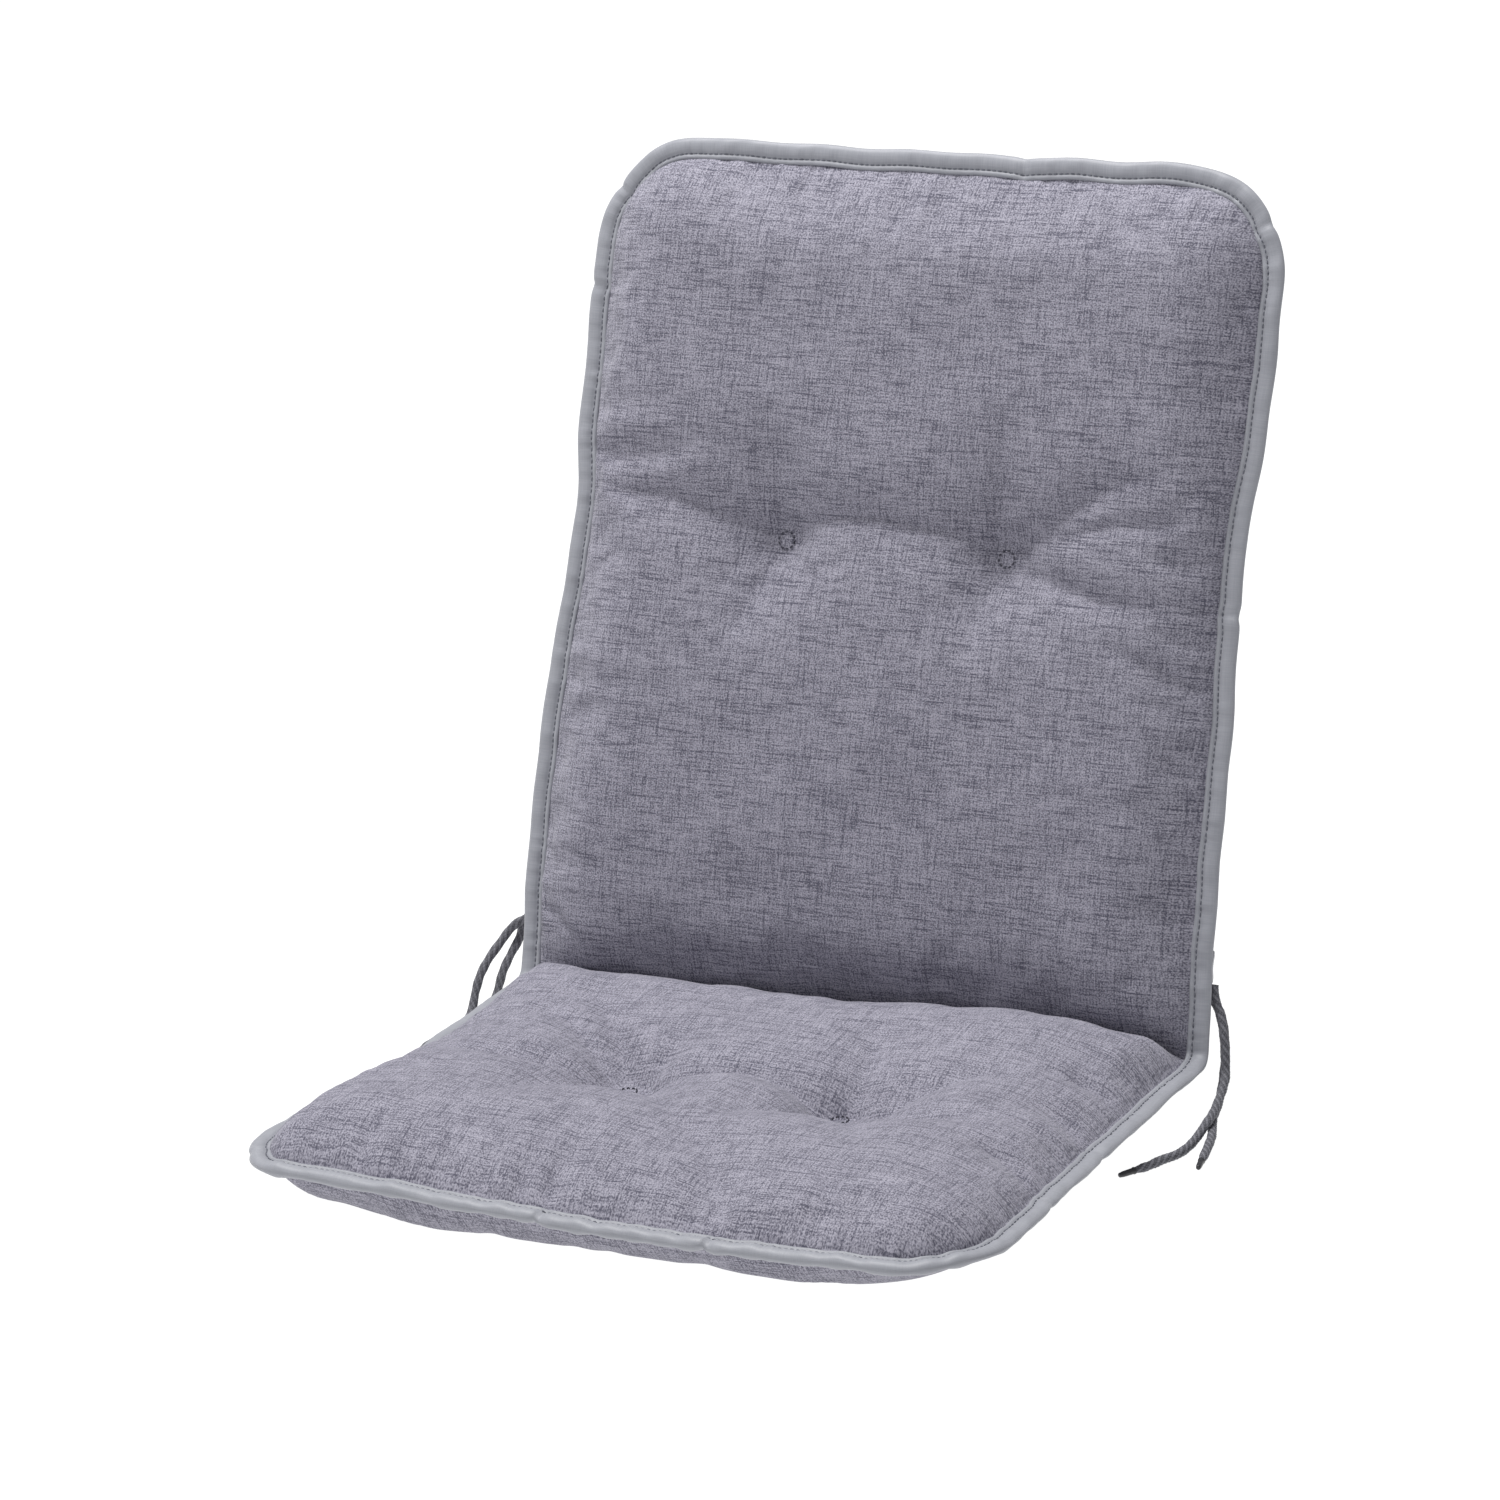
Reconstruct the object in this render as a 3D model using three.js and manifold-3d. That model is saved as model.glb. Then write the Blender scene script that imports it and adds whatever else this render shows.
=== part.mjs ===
// Garden chair cushion: a seat pad and a back pad sewn in one length and folded at a stitched
// crease, with a bound edge, four tufts sewn through, and two pairs of tie cords.
// Millimetres. The origin is the middle of the seat's underside, +Z is up, the front faces -Y.
import * as THREE from "three";
import { mergeVertices } from "three/addons/utils/BufferGeometryUtils.js";
import Module from "manifold-3d";

const wasm = await Module();
wasm.setup();

// Driving dimensions
const SEAT_DEPTH = 400; // crease to the middle of the front edge
const BACK_LENGTH = 582; // crease to the middle of the top edge
const CREASE_WIDTH = 504;
const WAIST_WIDTH = 487; // where the back's tufts draw its sides in
const BACK_TILT = 16.6; // degrees the back leans from upright
const HALF_THICKNESS = 30; // of a filled pad, each side of its seam
const CROWN_RUN = 40; // from a pad's seam to where it is full
const FABRIC = 1;
const GAP = 0.3; // left between touching pieces

// Edge binding: a tape folded round the two seam allowances
const TAPE = 0.8;
const BINDING_WIDTH = 14.5;
const BINDING_START = 8; // it is free of the crease by this much
const STITCH_INSET = 11; // the binding's stitch line, in from the edge
const THREAD = 0.6;

// Tufts, measured from the crease along each panel
const SEAT_TUFT = { x: 75, t: 191 };
const BACK_TUFT = { x: 80, t: 315 };
const TUFT_DEPTH = 8; // the stitched spot's height over the seam plane
const TUFT_RADIUS = 6.8;
const TUFT_STEM = 2;

// Tie cords
const CORD_DIAMETER = 6;
const AGLET_LENGTH = 13;
const AGLET_RADIUS = 1.9;
const ANCHOR = { t: 62, inset: 1.5, width: 11, length: 22, height: 6.5 }; // length runs up the edge

const SEAM_HEIGHT = HALF_THICKNESS;
const CREASE = new THREE.Vector3(0, SEAT_DEPTH / 2, SEAM_HEIGHT);
const FOLD_HALF = THREE.MathUtils.degToRad((90 + BACK_TILT) / 2); // half the angle between the pads
const CREASE_GAP = 1.5; // the pads stand this clear of the fold's own plane
const OVERRUN = 90; // outlines run on past the crease, to be cut there
const FAR = 700; // beyond any point of a panel
const FLANGE_LOW = GAP / 2;
const SLOT_HALF = FLANGE_LOW + FABRIC + GAP;
const BINDING_HALF = SLOT_HALF + TAPE;
const PAD_INSET = BINDING_WIDTH + GAP * 2;

const fabric = new THREE.MeshStandardMaterial({ color: 0x8f8f9b, roughness: 0.95, metalness: 0 });
const wadding = new THREE.MeshStandardMaterial({ color: 0xe9e7e2, roughness: 1, metalness: 0 });
const tape = new THREE.MeshStandardMaterial({ color: 0xa9acb4, roughness: 0.6, metalness: 0 });
const thread = new THREE.MeshStandardMaterial({ color: 0x5c5d68, roughness: 0.7, metalness: 0 });
const braid = new THREE.MeshStandardMaterial({ color: 0x4a4a50, roughness: 0.9, metalness: 0 });
const plastic = new THREE.MeshStandardMaterial({ color: 0x222224, roughness: 0.4, metalness: 0 });

// Solids

function toSolid(geometry) {
  geometry.deleteAttribute("normal");
  geometry.deleteAttribute("uv");
  const merged = mergeVertices(geometry, 1e-4);
  return new wasm.Manifold(
    new wasm.Mesh({
      numProp: 3,
      vertProperties: merged.attributes.position.array,
      triVerts: new Uint32Array(merged.index.array),
    }),
  );
}

function toMesh(name, solid, material) {
  const { vertProperties, triVerts } = solid.getMesh();
  const geometry = new THREE.BufferGeometry();
  geometry.setAttribute("position", new THREE.BufferAttribute(vertProperties, 3));
  geometry.setIndex(new THREE.BufferAttribute(triVerts, 1));
  geometry.computeVertexNormals();
  const mesh = new THREE.Mesh(geometry, material);
  mesh.name = name;
  return mesh;
}

// Panels lie in their own frame: x across, y along from the crease, z out of the seam plane
// towards the side that is sat on or leaned on.

// One side of a panel from its crease to the middle of its far edge, mirrored to a closed outline.
function panelOutline(sidePoints, cornerStart, cornerEnd, farMiddle) {
  const side = new THREE.SplineCurve(sidePoints.map(([x, y]) => new THREE.Vector2(x, y)));
  const [sx, sy] = cornerStart;
  const [ex, ey] = cornerEnd;
  const pull = 0.56;
  const corner = new THREE.CubicBezierCurve(
    new THREE.Vector2(sx, sy),
    new THREE.Vector2(sx - 1, sy + (ey - sy) * pull),
    new THREE.Vector2(ex + (sx - ex) * pull, ey + 1),
    new THREE.Vector2(ex, ey),
  );
  const half = [
    new THREE.Vector2(CREASE_WIDTH / 2, -OVERRUN),
    ...side.getPoints(7),
    ...corner.getPoints(6).slice(1),
    new THREE.Vector2(ex * 0.45, farMiddle),
  ];
  const mirrored = half.map((p) => new THREE.Vector2(-p.x, p.y)).reverse();
  return [...half, ...mirrored];
}

// The outline moved inwards by a distance, along the mean of its neighbouring edges' normals.
function insetOutline(points, distance) {
  return points.map((p, i) => {
    const before = points[(i + points.length - 1) % points.length];
    const after = points[(i + 1) % points.length];
    const a = p.clone().sub(before).normalize();
    const b = after.clone().sub(p).normalize();
    const inward = new THREE.Vector2(-(a.y + b.y), a.x + b.x).normalize();
    const cosHalf = Math.sqrt((1 + a.dot(b)) / 2);
    return p.clone().addScaledVector(inward, distance / cosHalf);
  });
}

function slab(outline, inset, low, high) {
  const shape = new THREE.Shape(insetOutline(outline, inset));
  const geometry = new THREE.ExtrudeGeometry(shape, { depth: high - low, bevelEnabled: false });
  return toSolid(geometry.translate(0, 0, low));
}

// A filled pad: flat in the middle and rounded down to its seam all round.
function pillow(outline, inset, halfThickness) {
  const shape = new THREE.Shape(insetOutline(outline, inset));
  const core = 1;
  const geometry = new THREE.ExtrudeGeometry(shape, {
    depth: core,
    bevelThickness: halfThickness - core / 2,
    bevelSize: CROWN_RUN,
    bevelOffset: -CROWN_RUN,
    bevelSegments: 3,
  });
  return toSolid(geometry.translate(0, 0, -core / 2));
}

// A long prism across the panel, from a profile of [along, out] points.
function crossPrism(profile) {
  const shape = new THREE.Shape(profile.map(([y, z]) => new THREE.Vector2(y, z)));
  const geometry = new THREE.ExtrudeGeometry(shape, { depth: FAR, bevelEnabled: false });
  const turn = new THREE.Matrix4().makeBasis(
    new THREE.Vector3(0, 1, 0),
    new THREE.Vector3(0, 0, 1),
    new THREE.Vector3(1, 0, 0),
  );
  return toSolid(geometry.translate(0, 0, -FAR / 2).applyMatrix4(turn));
}

// The room on a panel's inner side: the two pads meet along the plane halfway between them.
function frontRoom(clear, low) {
  const top = HALF_THICKNESS * 2;
  const mitre = 1 / Math.tan(FOLD_HALF);
  const start = CREASE_GAP + clear;
  return crossPrism([
    [start + low * mitre, low],
    [FAR, low],
    [FAR, top],
    [start + top * mitre, top],
  ]);
}

// The room on a panel's outer side, cut square at the crease.
function rearRoom(clear, high) {
  return crossPrism([
    [CREASE_GAP + clear, -HALF_THICKNESS * 2],
    [FAR, -HALF_THICKNESS * 2],
    [FAR, high],
    [CREASE_GAP + clear, high],
  ]);
}

// The hollows that a tuft pulls into both faces of a pad, and the hole of its thread.
function tuftHollow({ x, t }, grow) {
  const bowl = [
    [9, TUFT_DEPTH],
    [13, 13.5],
    [20, 20],
    [30, 26],
    [44, 30.5],
  ];
  const out = bowl.map(([r, z]) => new THREE.Vector2(r + grow, z - grow));
  const hole = TUFT_STEM + GAP + grow;
  const top = HALF_THICKNESS + 4;
  const upper = [
    new THREE.Vector2(0, 0),
    new THREE.Vector2(hole, 0),
    new THREE.Vector2(hole, TUFT_DEPTH - grow),
    ...out,
    new THREE.Vector2(44 + grow, top),
    new THREE.Vector2(0, top),
  ];
  const lower = upper.slice(1, -1).map((p) => new THREE.Vector2(p.x, -p.y));
  const profile = [new THREE.Vector2(0, -top), ...lower.reverse(), ...upper.slice(1)];
  const geometry = new THREE.LatheGeometry(profile, 14);
  return toSolid(geometry.rotateX(Math.PI / 2).translate(x, t, 0));
}

function tufted(solid, tuft, grow) {
  return [-1, 1].reduce(
    (body, side) => body.subtract(tuftHollow({ x: side * tuft.x, t: tuft.t }, grow)),
    solid,
  );
}

// The pieces of one panel

function padSolid(outline, tuft, depth) {
  return tufted(pillow(outline, PAD_INSET + depth, HALF_THICKNESS - depth), tuft, depth);
}

function coverShell(outline, tuft, isFront) {
  const low = isFront ? FLANGE_LOW : -FLANGE_LOW - FABRIC;
  const flange = slab(outline, TAPE + GAP, low, low + FABRIC);
  const outer = tufted(pillow(outline, PAD_INSET, HALF_THICKNESS).add(flange), tuft, 0);
  const inner = padSolid(outline, tuft, FABRIC);
  if (isFront) {
    return outer.intersect(frontRoom(0, FLANGE_LOW)).subtract(inner.intersect(frontRoom(FABRIC, 0)));
  }
  return outer.intersect(rearRoom(0, -FLANGE_LOW)).subtract(inner.intersect(rearRoom(FABRIC, 0)));
}

function fillingSolid(outline, tuft) {
  const depth = FABRIC + GAP;
  const room = frontRoom(depth, 0).add(rearRoom(depth, 0.01));
  return padSolid(outline, tuft, depth).intersect(room);
}

function bindingRing(outline) {
  const outer = slab(outline, 0, -BINDING_HALF, BINDING_HALF);
  const middle = slab(outline, BINDING_WIDTH, -BINDING_HALF - 1, BINDING_HALF + 1);
  const slot = slab(outline, TAPE, -SLOT_HALF, SLOT_HALF);
  const room = crossPrism([
    [BINDING_START, -HALF_THICKNESS],
    [FAR, -HALF_THICKNESS],
    [FAR, HALF_THICKNESS],
    [BINDING_START, HALF_THICKNESS],
  ]);
  return outer.subtract(middle).subtract(slot).intersect(room);
}

function bindingStitch(outline) {
  const low = BINDING_HALF + GAP;
  const ring = slab(outline, STITCH_INSET, low, low + THREAD);
  const middle = slab(outline, STITCH_INSET + 1, low - 1, low + THREAD + 1);
  const room = crossPrism([
    [BINDING_START + 1, 0],
    [FAR, 0],
    [FAR, HALF_THICKNESS],
    [BINDING_START + 1, HALF_THICKNESS],
  ]);
  return ring.subtract(middle).intersect(room);
}

// A tuft's thread: a stem through the pad with a ring of stitches on each face.
function tuftStitch() {
  const face = TUFT_DEPTH + GAP;
  const upper = [
    [TUFT_STEM, face],
    [TUFT_RADIUS, face],
    [TUFT_RADIUS + 0.5, face + 0.5],
    [TUFT_RADIUS, face + 1],
    [TUFT_RADIUS - 1.2, face + 1],
    [TUFT_RADIUS - 1.6, face + 0.5],
    [0, face + 0.5],
  ].map(([r, z]) => new THREE.Vector2(r, z));
  const lower = upper.map((p) => new THREE.Vector2(p.x, -p.y)).reverse();
  const geometry = new THREE.LatheGeometry([...lower, ...upper], 12);
  return toSolid(geometry.rotateX(Math.PI / 2));
}

function addPanel(group, names, outline, tuft) {
  group.add(toMesh(names.front, coverShell(outline, tuft, true), fabric));
  group.add(toMesh(names.rear, coverShell(outline, tuft, false), fabric));
  group.add(toMesh(names.body + "_filling", fillingSolid(outline, tuft), wadding));
  group.add(toMesh(names.body + "_binding", bindingRing(outline), tape));
  group.add(toMesh(names.body + "_binding_stitch", bindingStitch(outline), thread));
  for (const side of [-1, 1]) {
    const hand = side * names.rightSide < 0 ? "left" : "right";
    const stitch = toMesh(names.body + "_tuft_stitch_" + hand, tuftStitch(), thread);
    stitch.position.set(side * tuft.x, tuft.t, 0);
    group.add(stitch);
  }
}

// Where each tie pair is sewn under the binding, on the back's outer face near the crease.
function tieAnchor(side) {
  const { t, inset, width, length, height } = ANCHOR;
  const r = 2;
  const shape = new THREE.Shape();
  shape.moveTo(-width / 2, -length / 2 + r);
  shape.absarc(-width / 2 + r, -length / 2 + r, r, Math.PI, Math.PI * 1.5);
  shape.absarc(width / 2 - r, -length / 2 + r, r, Math.PI * 1.5, Math.PI * 2);
  shape.absarc(width / 2 - r, length / 2 - r, r, 0, Math.PI / 2);
  shape.absarc(-width / 2 + r, length / 2 - r, r, Math.PI / 2, Math.PI);
  const options = { depth: height, bevelEnabled: false, curveSegments: 3 };
  const geometry = new THREE.ExtrudeGeometry(shape, options);
  const x = side * (CREASE_WIDTH / 2 - width / 2 - inset);
  return toSolid(geometry.translate(x, t, -BINDING_HALF - GAP - height));
}

// Tie cords, each route from the anchor down to the surface the seat lies on

const CORD_ROUTES = {
  tie_cord_right_front: [
    [248.6, 220.8, 76.6],
    [248.6, 220.1, 74.2],
    [249.6, 218.9, 69.6],
    [252.2, 217.2, 63.0],
    [255.4, 214.8, 56.0],
    [258.4, 210.8, 47.0],
    [260.5, 207.7, 33.5],
    [262.2, 203.5, 21.5],
    [265.0, 187.2, 14.4],
    [267.9, 167.0, 10.2],
    [269.2, 156.0, 9.6],
    [269.4, 149.0, 8.6],
    [268.8, 141.0, 6.0],
    [268.3, 133.0, 4.0],
    [268.1, 118.4, 3.2],
    [265.9, 104.5, 3.2],
    [260.7, 93.4, 3.2],
    [256.2, 80.6, 3.2],
    [250.9, 70.6, 3.2],
  ],
  tie_cord_right_rear: [
    [242.2, 220.8, 76.6],
    [242.2, 220.1, 74.2],
    [243.8, 222.0, 69.6],
    [248.2, 222.8, 63.0],
    [252.4, 221.8, 56.4],
    [255.2, 219.8, 48.5],
    [257.2, 216.6, 36.0],
    [257.8, 212.0, 19.5],
    [258.6, 203.4, 7.4],
    [261.2, 189.0, 3.4],
    [264.8, 173.0, 3.2],
    [270.4, 157.0, 3.2],
    [275.8, 141.5, 3.2],
    [280.6, 121.0, 3.2],
    [284.6, 100.6, 3.2],
  ],
  tie_cord_left_front: [
    [-248.6, 220.8, 76.6],
    [-248.6, 220.1, 74.2],
    [-250.6, 219.3, 70.6],
    [-255.6, 218.6, 66.8],
    [-262.5, 218.4, 62.6],
    [-268.6, 217.4, 57.0],
    [-273.4, 211.0, 48.8],
    [-277.6, 202.4, 40.4],
    [-280.6, 194.4, 31.0],
    [-282.0, 188.4, 20.6],
    [-281.8, 181.4, 9.6],
    [-280.8, 170.0, 4.0],
    [-281.0, 154.0, 3.2],
    [-284.0, 137.0, 3.2],
    [-285.0, 120.0, 3.2],
    [-281.0, 104.0, 3.2],
    [-275.0, 91.0, 3.2],
  ],
  tie_cord_left_rear: [
    [-242.2, 220.8, 76.6],
    [-242.2, 220.1, 74.2],
    [-244.4, 222.7, 71.2],
    [-250.2, 226.2, 69.6],
    [-257.0, 228.0, 66.6],
    [-262.4, 226.8, 60.0],
    [-264.0, 221.6, 49.5],
    [-266.4, 213.4, 41.0],
    [-269.0, 205.6, 31.0],
    [-270.8, 199.0, 18.0],
    [-271.6, 190.4, 7.6],
    [-271.4, 178.0, 3.5],
    [-270.4, 160.0, 3.2],
    [-270.0, 142.0, 3.2],
    [-272.0, 124.0, 3.2],
    [-270.0, 106.0, 3.2],
  ],
};

function cordTube(curve) {
  const sides = 8;
  const section = new THREE.Shape();
  for (let i = 0; i < sides; i += 1) {
    const angle = (i / sides) * Math.PI * 2;
    const point = [Math.cos(angle), Math.sin(angle)].map((v) => (v * CORD_DIAMETER) / 2);
    if (i === 0) section.moveTo(...point);
    else section.lineTo(...point);
  }
  const steps = Math.round(curve.getLength() / (CORD_DIAMETER * 1.6));
  const options = { steps, extrudePath: curve, bevelEnabled: false };
  return toSolid(new THREE.ExtrudeGeometry(section, options));
}

// The hard tip that keeps a cord's end from fraying, carried on along the cord's end.
function agletMesh(name, curve) {
  const profile = [
    [0, 0],
    [AGLET_RADIUS, 0],
    [AGLET_RADIUS, AGLET_LENGTH - 1.5],
    [AGLET_RADIUS * 0.6, AGLET_LENGTH],
    [0, AGLET_LENGTH],
  ].map(([r, y]) => new THREE.Vector2(r, y));
  const mesh = toMesh(name, toSolid(new THREE.LatheGeometry(profile, 10)), plastic);
  const along = curve.getTangent(1);
  along.z = 0;
  along.normalize();
  mesh.quaternion.setFromUnitVectors(new THREE.Vector3(0, 1, 0), along);
  mesh.position.copy(curve.getPoint(1)).addScaledVector(along, GAP * 2);
  return mesh;
}

// Assembly

const seatOutline = panelOutline(
  [
    [252, -20],
    [252, 60],
    [251, 160],
    [251, 250],
    [252, 322],
  ],
  [252, 322],
  [176, 396],
  SEAT_DEPTH,
);
const backOutline = panelOutline(
  [
    [252, -20],
    [251.5, 90],
    [249.5, 210],
    [WAIST_WIDTH / 2, 315],
    [248.5, 415],
    [249, 505],
  ],
  [249, 505],
  [178, BACK_LENGTH],
  BACK_LENGTH - 1,
);

const cushion = new THREE.Group();

const seat = new THREE.Group();
seat.position.copy(CREASE);
seat.rotation.z = Math.PI;
addPanel(
  seat,
  { body: "seat", front: "seat_top_cover", rear: "seat_bottom_cover", rightSide: -1 },
  seatOutline,
  SEAT_TUFT,
);
cushion.add(seat);

const back = new THREE.Group();
back.position.copy(CREASE);
back.rotation.x = THREE.MathUtils.degToRad(90 - BACK_TILT);
addPanel(
  back,
  { body: "back", front: "back_front_cover", rear: "back_rear_cover", rightSide: 1 },
  backOutline,
  BACK_TUFT,
);
back.add(toMesh("tie_anchor_left", tieAnchor(-1), tape));
back.add(toMesh("tie_anchor_right", tieAnchor(1), tape));
cushion.add(back);

// The row of stitches that holds the two pads' seams together along the fold
const foldLength = CREASE_WIDTH - 2 * BINDING_WIDTH;
const foldStitch = new THREE.CylinderGeometry(0.7, 0.7, foldLength, 8).rotateZ(Math.PI / 2);
const foldMesh = toMesh("fold_seam_stitch", toSolid(foldStitch), thread);
foldMesh.position.copy(CREASE);
cushion.add(foldMesh);

for (const [name, route] of Object.entries(CORD_ROUTES)) {
  const curve = new THREE.CatmullRomCurve3(route.map((p) => new THREE.Vector3(...p)), false, "centripetal");
  cushion.add(toMesh(name, cordTube(curve), braid));
  cushion.add(agletMesh(name.replace("tie_cord", "aglet"), curve));
}

export default cushion;
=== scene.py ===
import math

import bpy
import numpy as np
from mathutils import Matrix, Vector


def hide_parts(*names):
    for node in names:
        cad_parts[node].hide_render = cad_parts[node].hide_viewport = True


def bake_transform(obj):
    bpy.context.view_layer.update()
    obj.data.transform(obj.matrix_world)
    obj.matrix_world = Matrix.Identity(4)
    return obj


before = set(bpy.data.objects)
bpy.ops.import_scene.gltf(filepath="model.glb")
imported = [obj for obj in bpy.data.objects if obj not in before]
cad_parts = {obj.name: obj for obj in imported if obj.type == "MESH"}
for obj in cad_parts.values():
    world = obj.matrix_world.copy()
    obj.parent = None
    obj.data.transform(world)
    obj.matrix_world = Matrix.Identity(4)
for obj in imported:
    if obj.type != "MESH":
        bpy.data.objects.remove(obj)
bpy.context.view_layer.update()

# ---------------------------------------------------------------- camera

CAMERA_AZIMUTH = 25.86  # degrees, 0 looks along +Y
CAMERA_ELEVATION = 17.36
CAMERA_ROLL = -2.26
CAMERA_DISTANCE = 3.835
CAMERA_AIM = Vector((-0.0708, 0.2, 0.2117))
CAMERA_LENS = 138.4


def add_object(name, data):
    made = bpy.data.objects.new(name, data)
    bpy.context.scene.collection.objects.link(made)
    return made


def add_camera():
    azimuth = math.radians(CAMERA_AZIMUTH)
    elevation = math.radians(CAMERA_ELEVATION)
    level = math.cos(elevation)
    back = Vector((math.sin(azimuth) * level, -math.cos(azimuth) * level, math.sin(elevation)))
    data = bpy.data.cameras.new("camera")
    data.lens = CAMERA_LENS
    data.sensor_width = 36
    camera = add_object("camera", data)
    look = (-back).to_track_quat("-Z", "Y").to_matrix()
    turn = look @ Matrix.Rotation(math.radians(CAMERA_ROLL), 3, "Z")
    camera.matrix_world = Matrix.Translation(CAMERA_AIM + back * CAMERA_DISTANCE) @ turn.to_4x4()
    bpy.context.scene.camera = camera


add_camera()

# ---------------------------------------------------------------- driving sizes, millimetres

CREASE = np.array([0.0, 200.0, 30.0])
LEAN = 16.6  # degrees, the back from upright
TILT = math.radians(LEAN)
FOLD_ANGLE = 90 + LEAN  # degrees between the two pads
PAD_HALF = 30.0
CREASE_HALF_WIDTH = 252.0
HANDS = {-1: "left", 1: "right"}
BINDING_WIDTH = 14.5
SEAM_INSET = 13.6  # a pad starts just under the binding's inner edge
STITCH_INSET = 11.0
CORD_DIAMETER = 6.0
LEAST_HEIGHT = 0.35  # every face stays this far from the fold

# ---------------------------------------------------------------- small tools


def smooth(low, high, value):
    t = np.clip((value - low) / (high - low), 0, 1)
    return t * t * (3 - 2 * t)


def rise(distance, run, power=0.75):
    """0 at a seam, 1 from run onwards, steep at first."""
    return np.sin(np.pi / 2 * np.clip(distance / run, 0, 1)) ** power


def unit(vectors):
    return vectors / np.maximum(np.linalg.norm(vectors, axis=-1, keepdims=True), 1e-12)


def wander(s, low, high, seed, count=9):
    """A smooth random line along s, about -1 to 1, with wavelengths from low to high."""
    draw = np.random.default_rng(seed)
    k = 2 * np.pi / draw.uniform(low, high, count)
    phase = draw.uniform(0, 2 * np.pi, count)
    weight = draw.uniform(0.5, 1, count)
    total = sum(w * np.sin(s * kk + p) for kk, p, w in zip(k, phase, weight))
    return total / (0.8 * math.sqrt((weight**2).sum()))


def lumps(x, y, low, high, seed, count=16):
    """A smooth random surface, about -1 to 1, with features from low to high."""
    draw = np.random.default_rng(seed)
    total = np.zeros_like(x)
    for _ in range(count):
        angle = draw.uniform(0, np.pi)
        k = 2 * np.pi / draw.uniform(low, high)
        run = x * math.cos(angle) + y * math.sin(angle)
        total += np.sin(k * run + draw.uniform(0, 2 * np.pi))
    return total / math.sqrt(count / 2) / 1.6


def arc_lengths(points):
    steps = np.linalg.norm(np.diff(points, axis=0), axis=1)
    return np.concatenate([[0], np.cumsum(steps)])


def resample(points, count, values=None):
    """The points, or values that belong to them, at even steps along the line."""
    s = arc_lengths(points)
    at = np.linspace(0, s[-1], count)
    values = points if values is None else values
    return np.stack([np.interp(at, s, values[:, i]) for i in range(values.shape[1])], axis=1)


def spline(p, steps):
    """The Catmull-Rom curve over the inner points of p, as one run of points for each stretch."""
    t = np.linspace(0, 1, steps, endpoint=False)[:, None]
    runs = []
    for a, b, c, d in zip(p, p[1:], p[2:], p[3:]):
        straight = 2 * b + (c - a) * t
        runs.append(0.5 * (straight + (2 * a - 5 * b + 4 * c - d) * t**2 + (3 * b - a - 3 * c + d) * t**3))
    return runs


def make_mesh(name, points, faces, material, flat=None):
    """A mesh object from points in millimetres; flat gives each point its place on the cut cloth."""
    mesh = bpy.data.meshes.new(name)
    whole = [list(map(int, face)) for face in faces]
    mesh.from_pydata((np.asarray(points) / 1000).tolist(), [], whole)
    if flat is not None:
        layer = mesh.uv_layers.new(name="flat")
        loops = np.empty(len(mesh.loops), dtype=np.int32)
        mesh.loops.foreach_get("vertex_index", loops)
        layer.data.foreach_set("uv", (np.asarray(flat)[loops] / 1000).astype(np.float32).ravel())
    mesh.materials.append(material)
    mesh.polygons.foreach_set("use_smooth", [True] * len(mesh.polygons))
    mesh.update()
    return add_object(name, mesh)


def grid_faces(rows, columns, start=0, turn=False):
    i, j = np.meshgrid(np.arange(rows - 1), np.arange(columns - 1), indexing="ij")
    a = start + i * columns + j
    quads = np.stack([a, a + 1, a + columns + 1, a + columns], axis=-1).reshape(-1, 4)
    return quads[:, ::-1] if turn else quads


def tube_faces(rings, sides, closed):
    count = rings if closed else rings - 1
    i, j = np.meshgrid(np.arange(count), np.arange(sides), indexing="ij")
    up, right = (i + 1) % rings, (j + 1) % sides
    quads = [i * sides + j, i * sides + right, up * sides + right, up * sides + j]
    return np.stack(quads, -1).reshape(-1, 4)


def shell_faces(rows, columns, turn):
    """The faces of two grids of points, one behind the other, and of the wall round them."""
    top = grid_faces(rows, columns)
    count = rows * columns
    index = np.arange(count).reshape(rows, columns)
    ring = np.concatenate([index[0, :-1], index[:-1, -1], index[-1, :0:-1], index[:0:-1, 0]])
    after = np.roll(ring, -1)
    wall = np.stack([ring, ring + count, after + count, after], axis=1)
    faces = np.vstack([top, top[:, ::-1] + count, wall])
    return faces[:, ::-1] if turn else faces


def fit_in(piece, slot_name, *nodes):
    """Hides a piece's CAD nodes, which it stands in for, and bakes its transform into its mesh."""
    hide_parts(*nodes)
    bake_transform(piece)


# ---------------------------------------------------------------- materials


def new_material(name):
    material = bpy.data.materials.new(name)
    material.use_nodes = True
    tree = material.node_tree
    return material, tree, tree.nodes["Principled BSDF"]


def fill(tree, node, values):
    """Fills sockets: a value is a number, a colour or another node's output."""
    for key, value in values.items():
        key = int(key[1:]) if key[0] == "i" and key[1:].isdigit() else key.replace("_", " ")
        if isinstance(value, bpy.types.NodeSocket):
            tree.links.new(value, node.inputs[key])
        else:
            node.inputs[key].default_value = value


def put(tree, kind, setting=None, **values):
    """A node; setting is a property's name and value, i0, i1 and so on are its first sockets."""
    node = tree.nodes.new(kind)
    if setting:
        setattr(node, *setting)
    fill(tree, node, values)
    return node


def math_node(tree, operation, a, b=0.0, c=0.0):
    return put(tree, "ShaderNodeMath", ("operation", operation), i0=a, i1=b, i2=c).outputs[0]


def spread(tree, source, low, high, to_low, to_high):
    """The source's range from low to high, mapped to another."""
    return put(tree, "ShaderNodeMapRange", i0=source, i1=low, i2=high, i3=to_low, i4=to_high).outputs[0]


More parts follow.
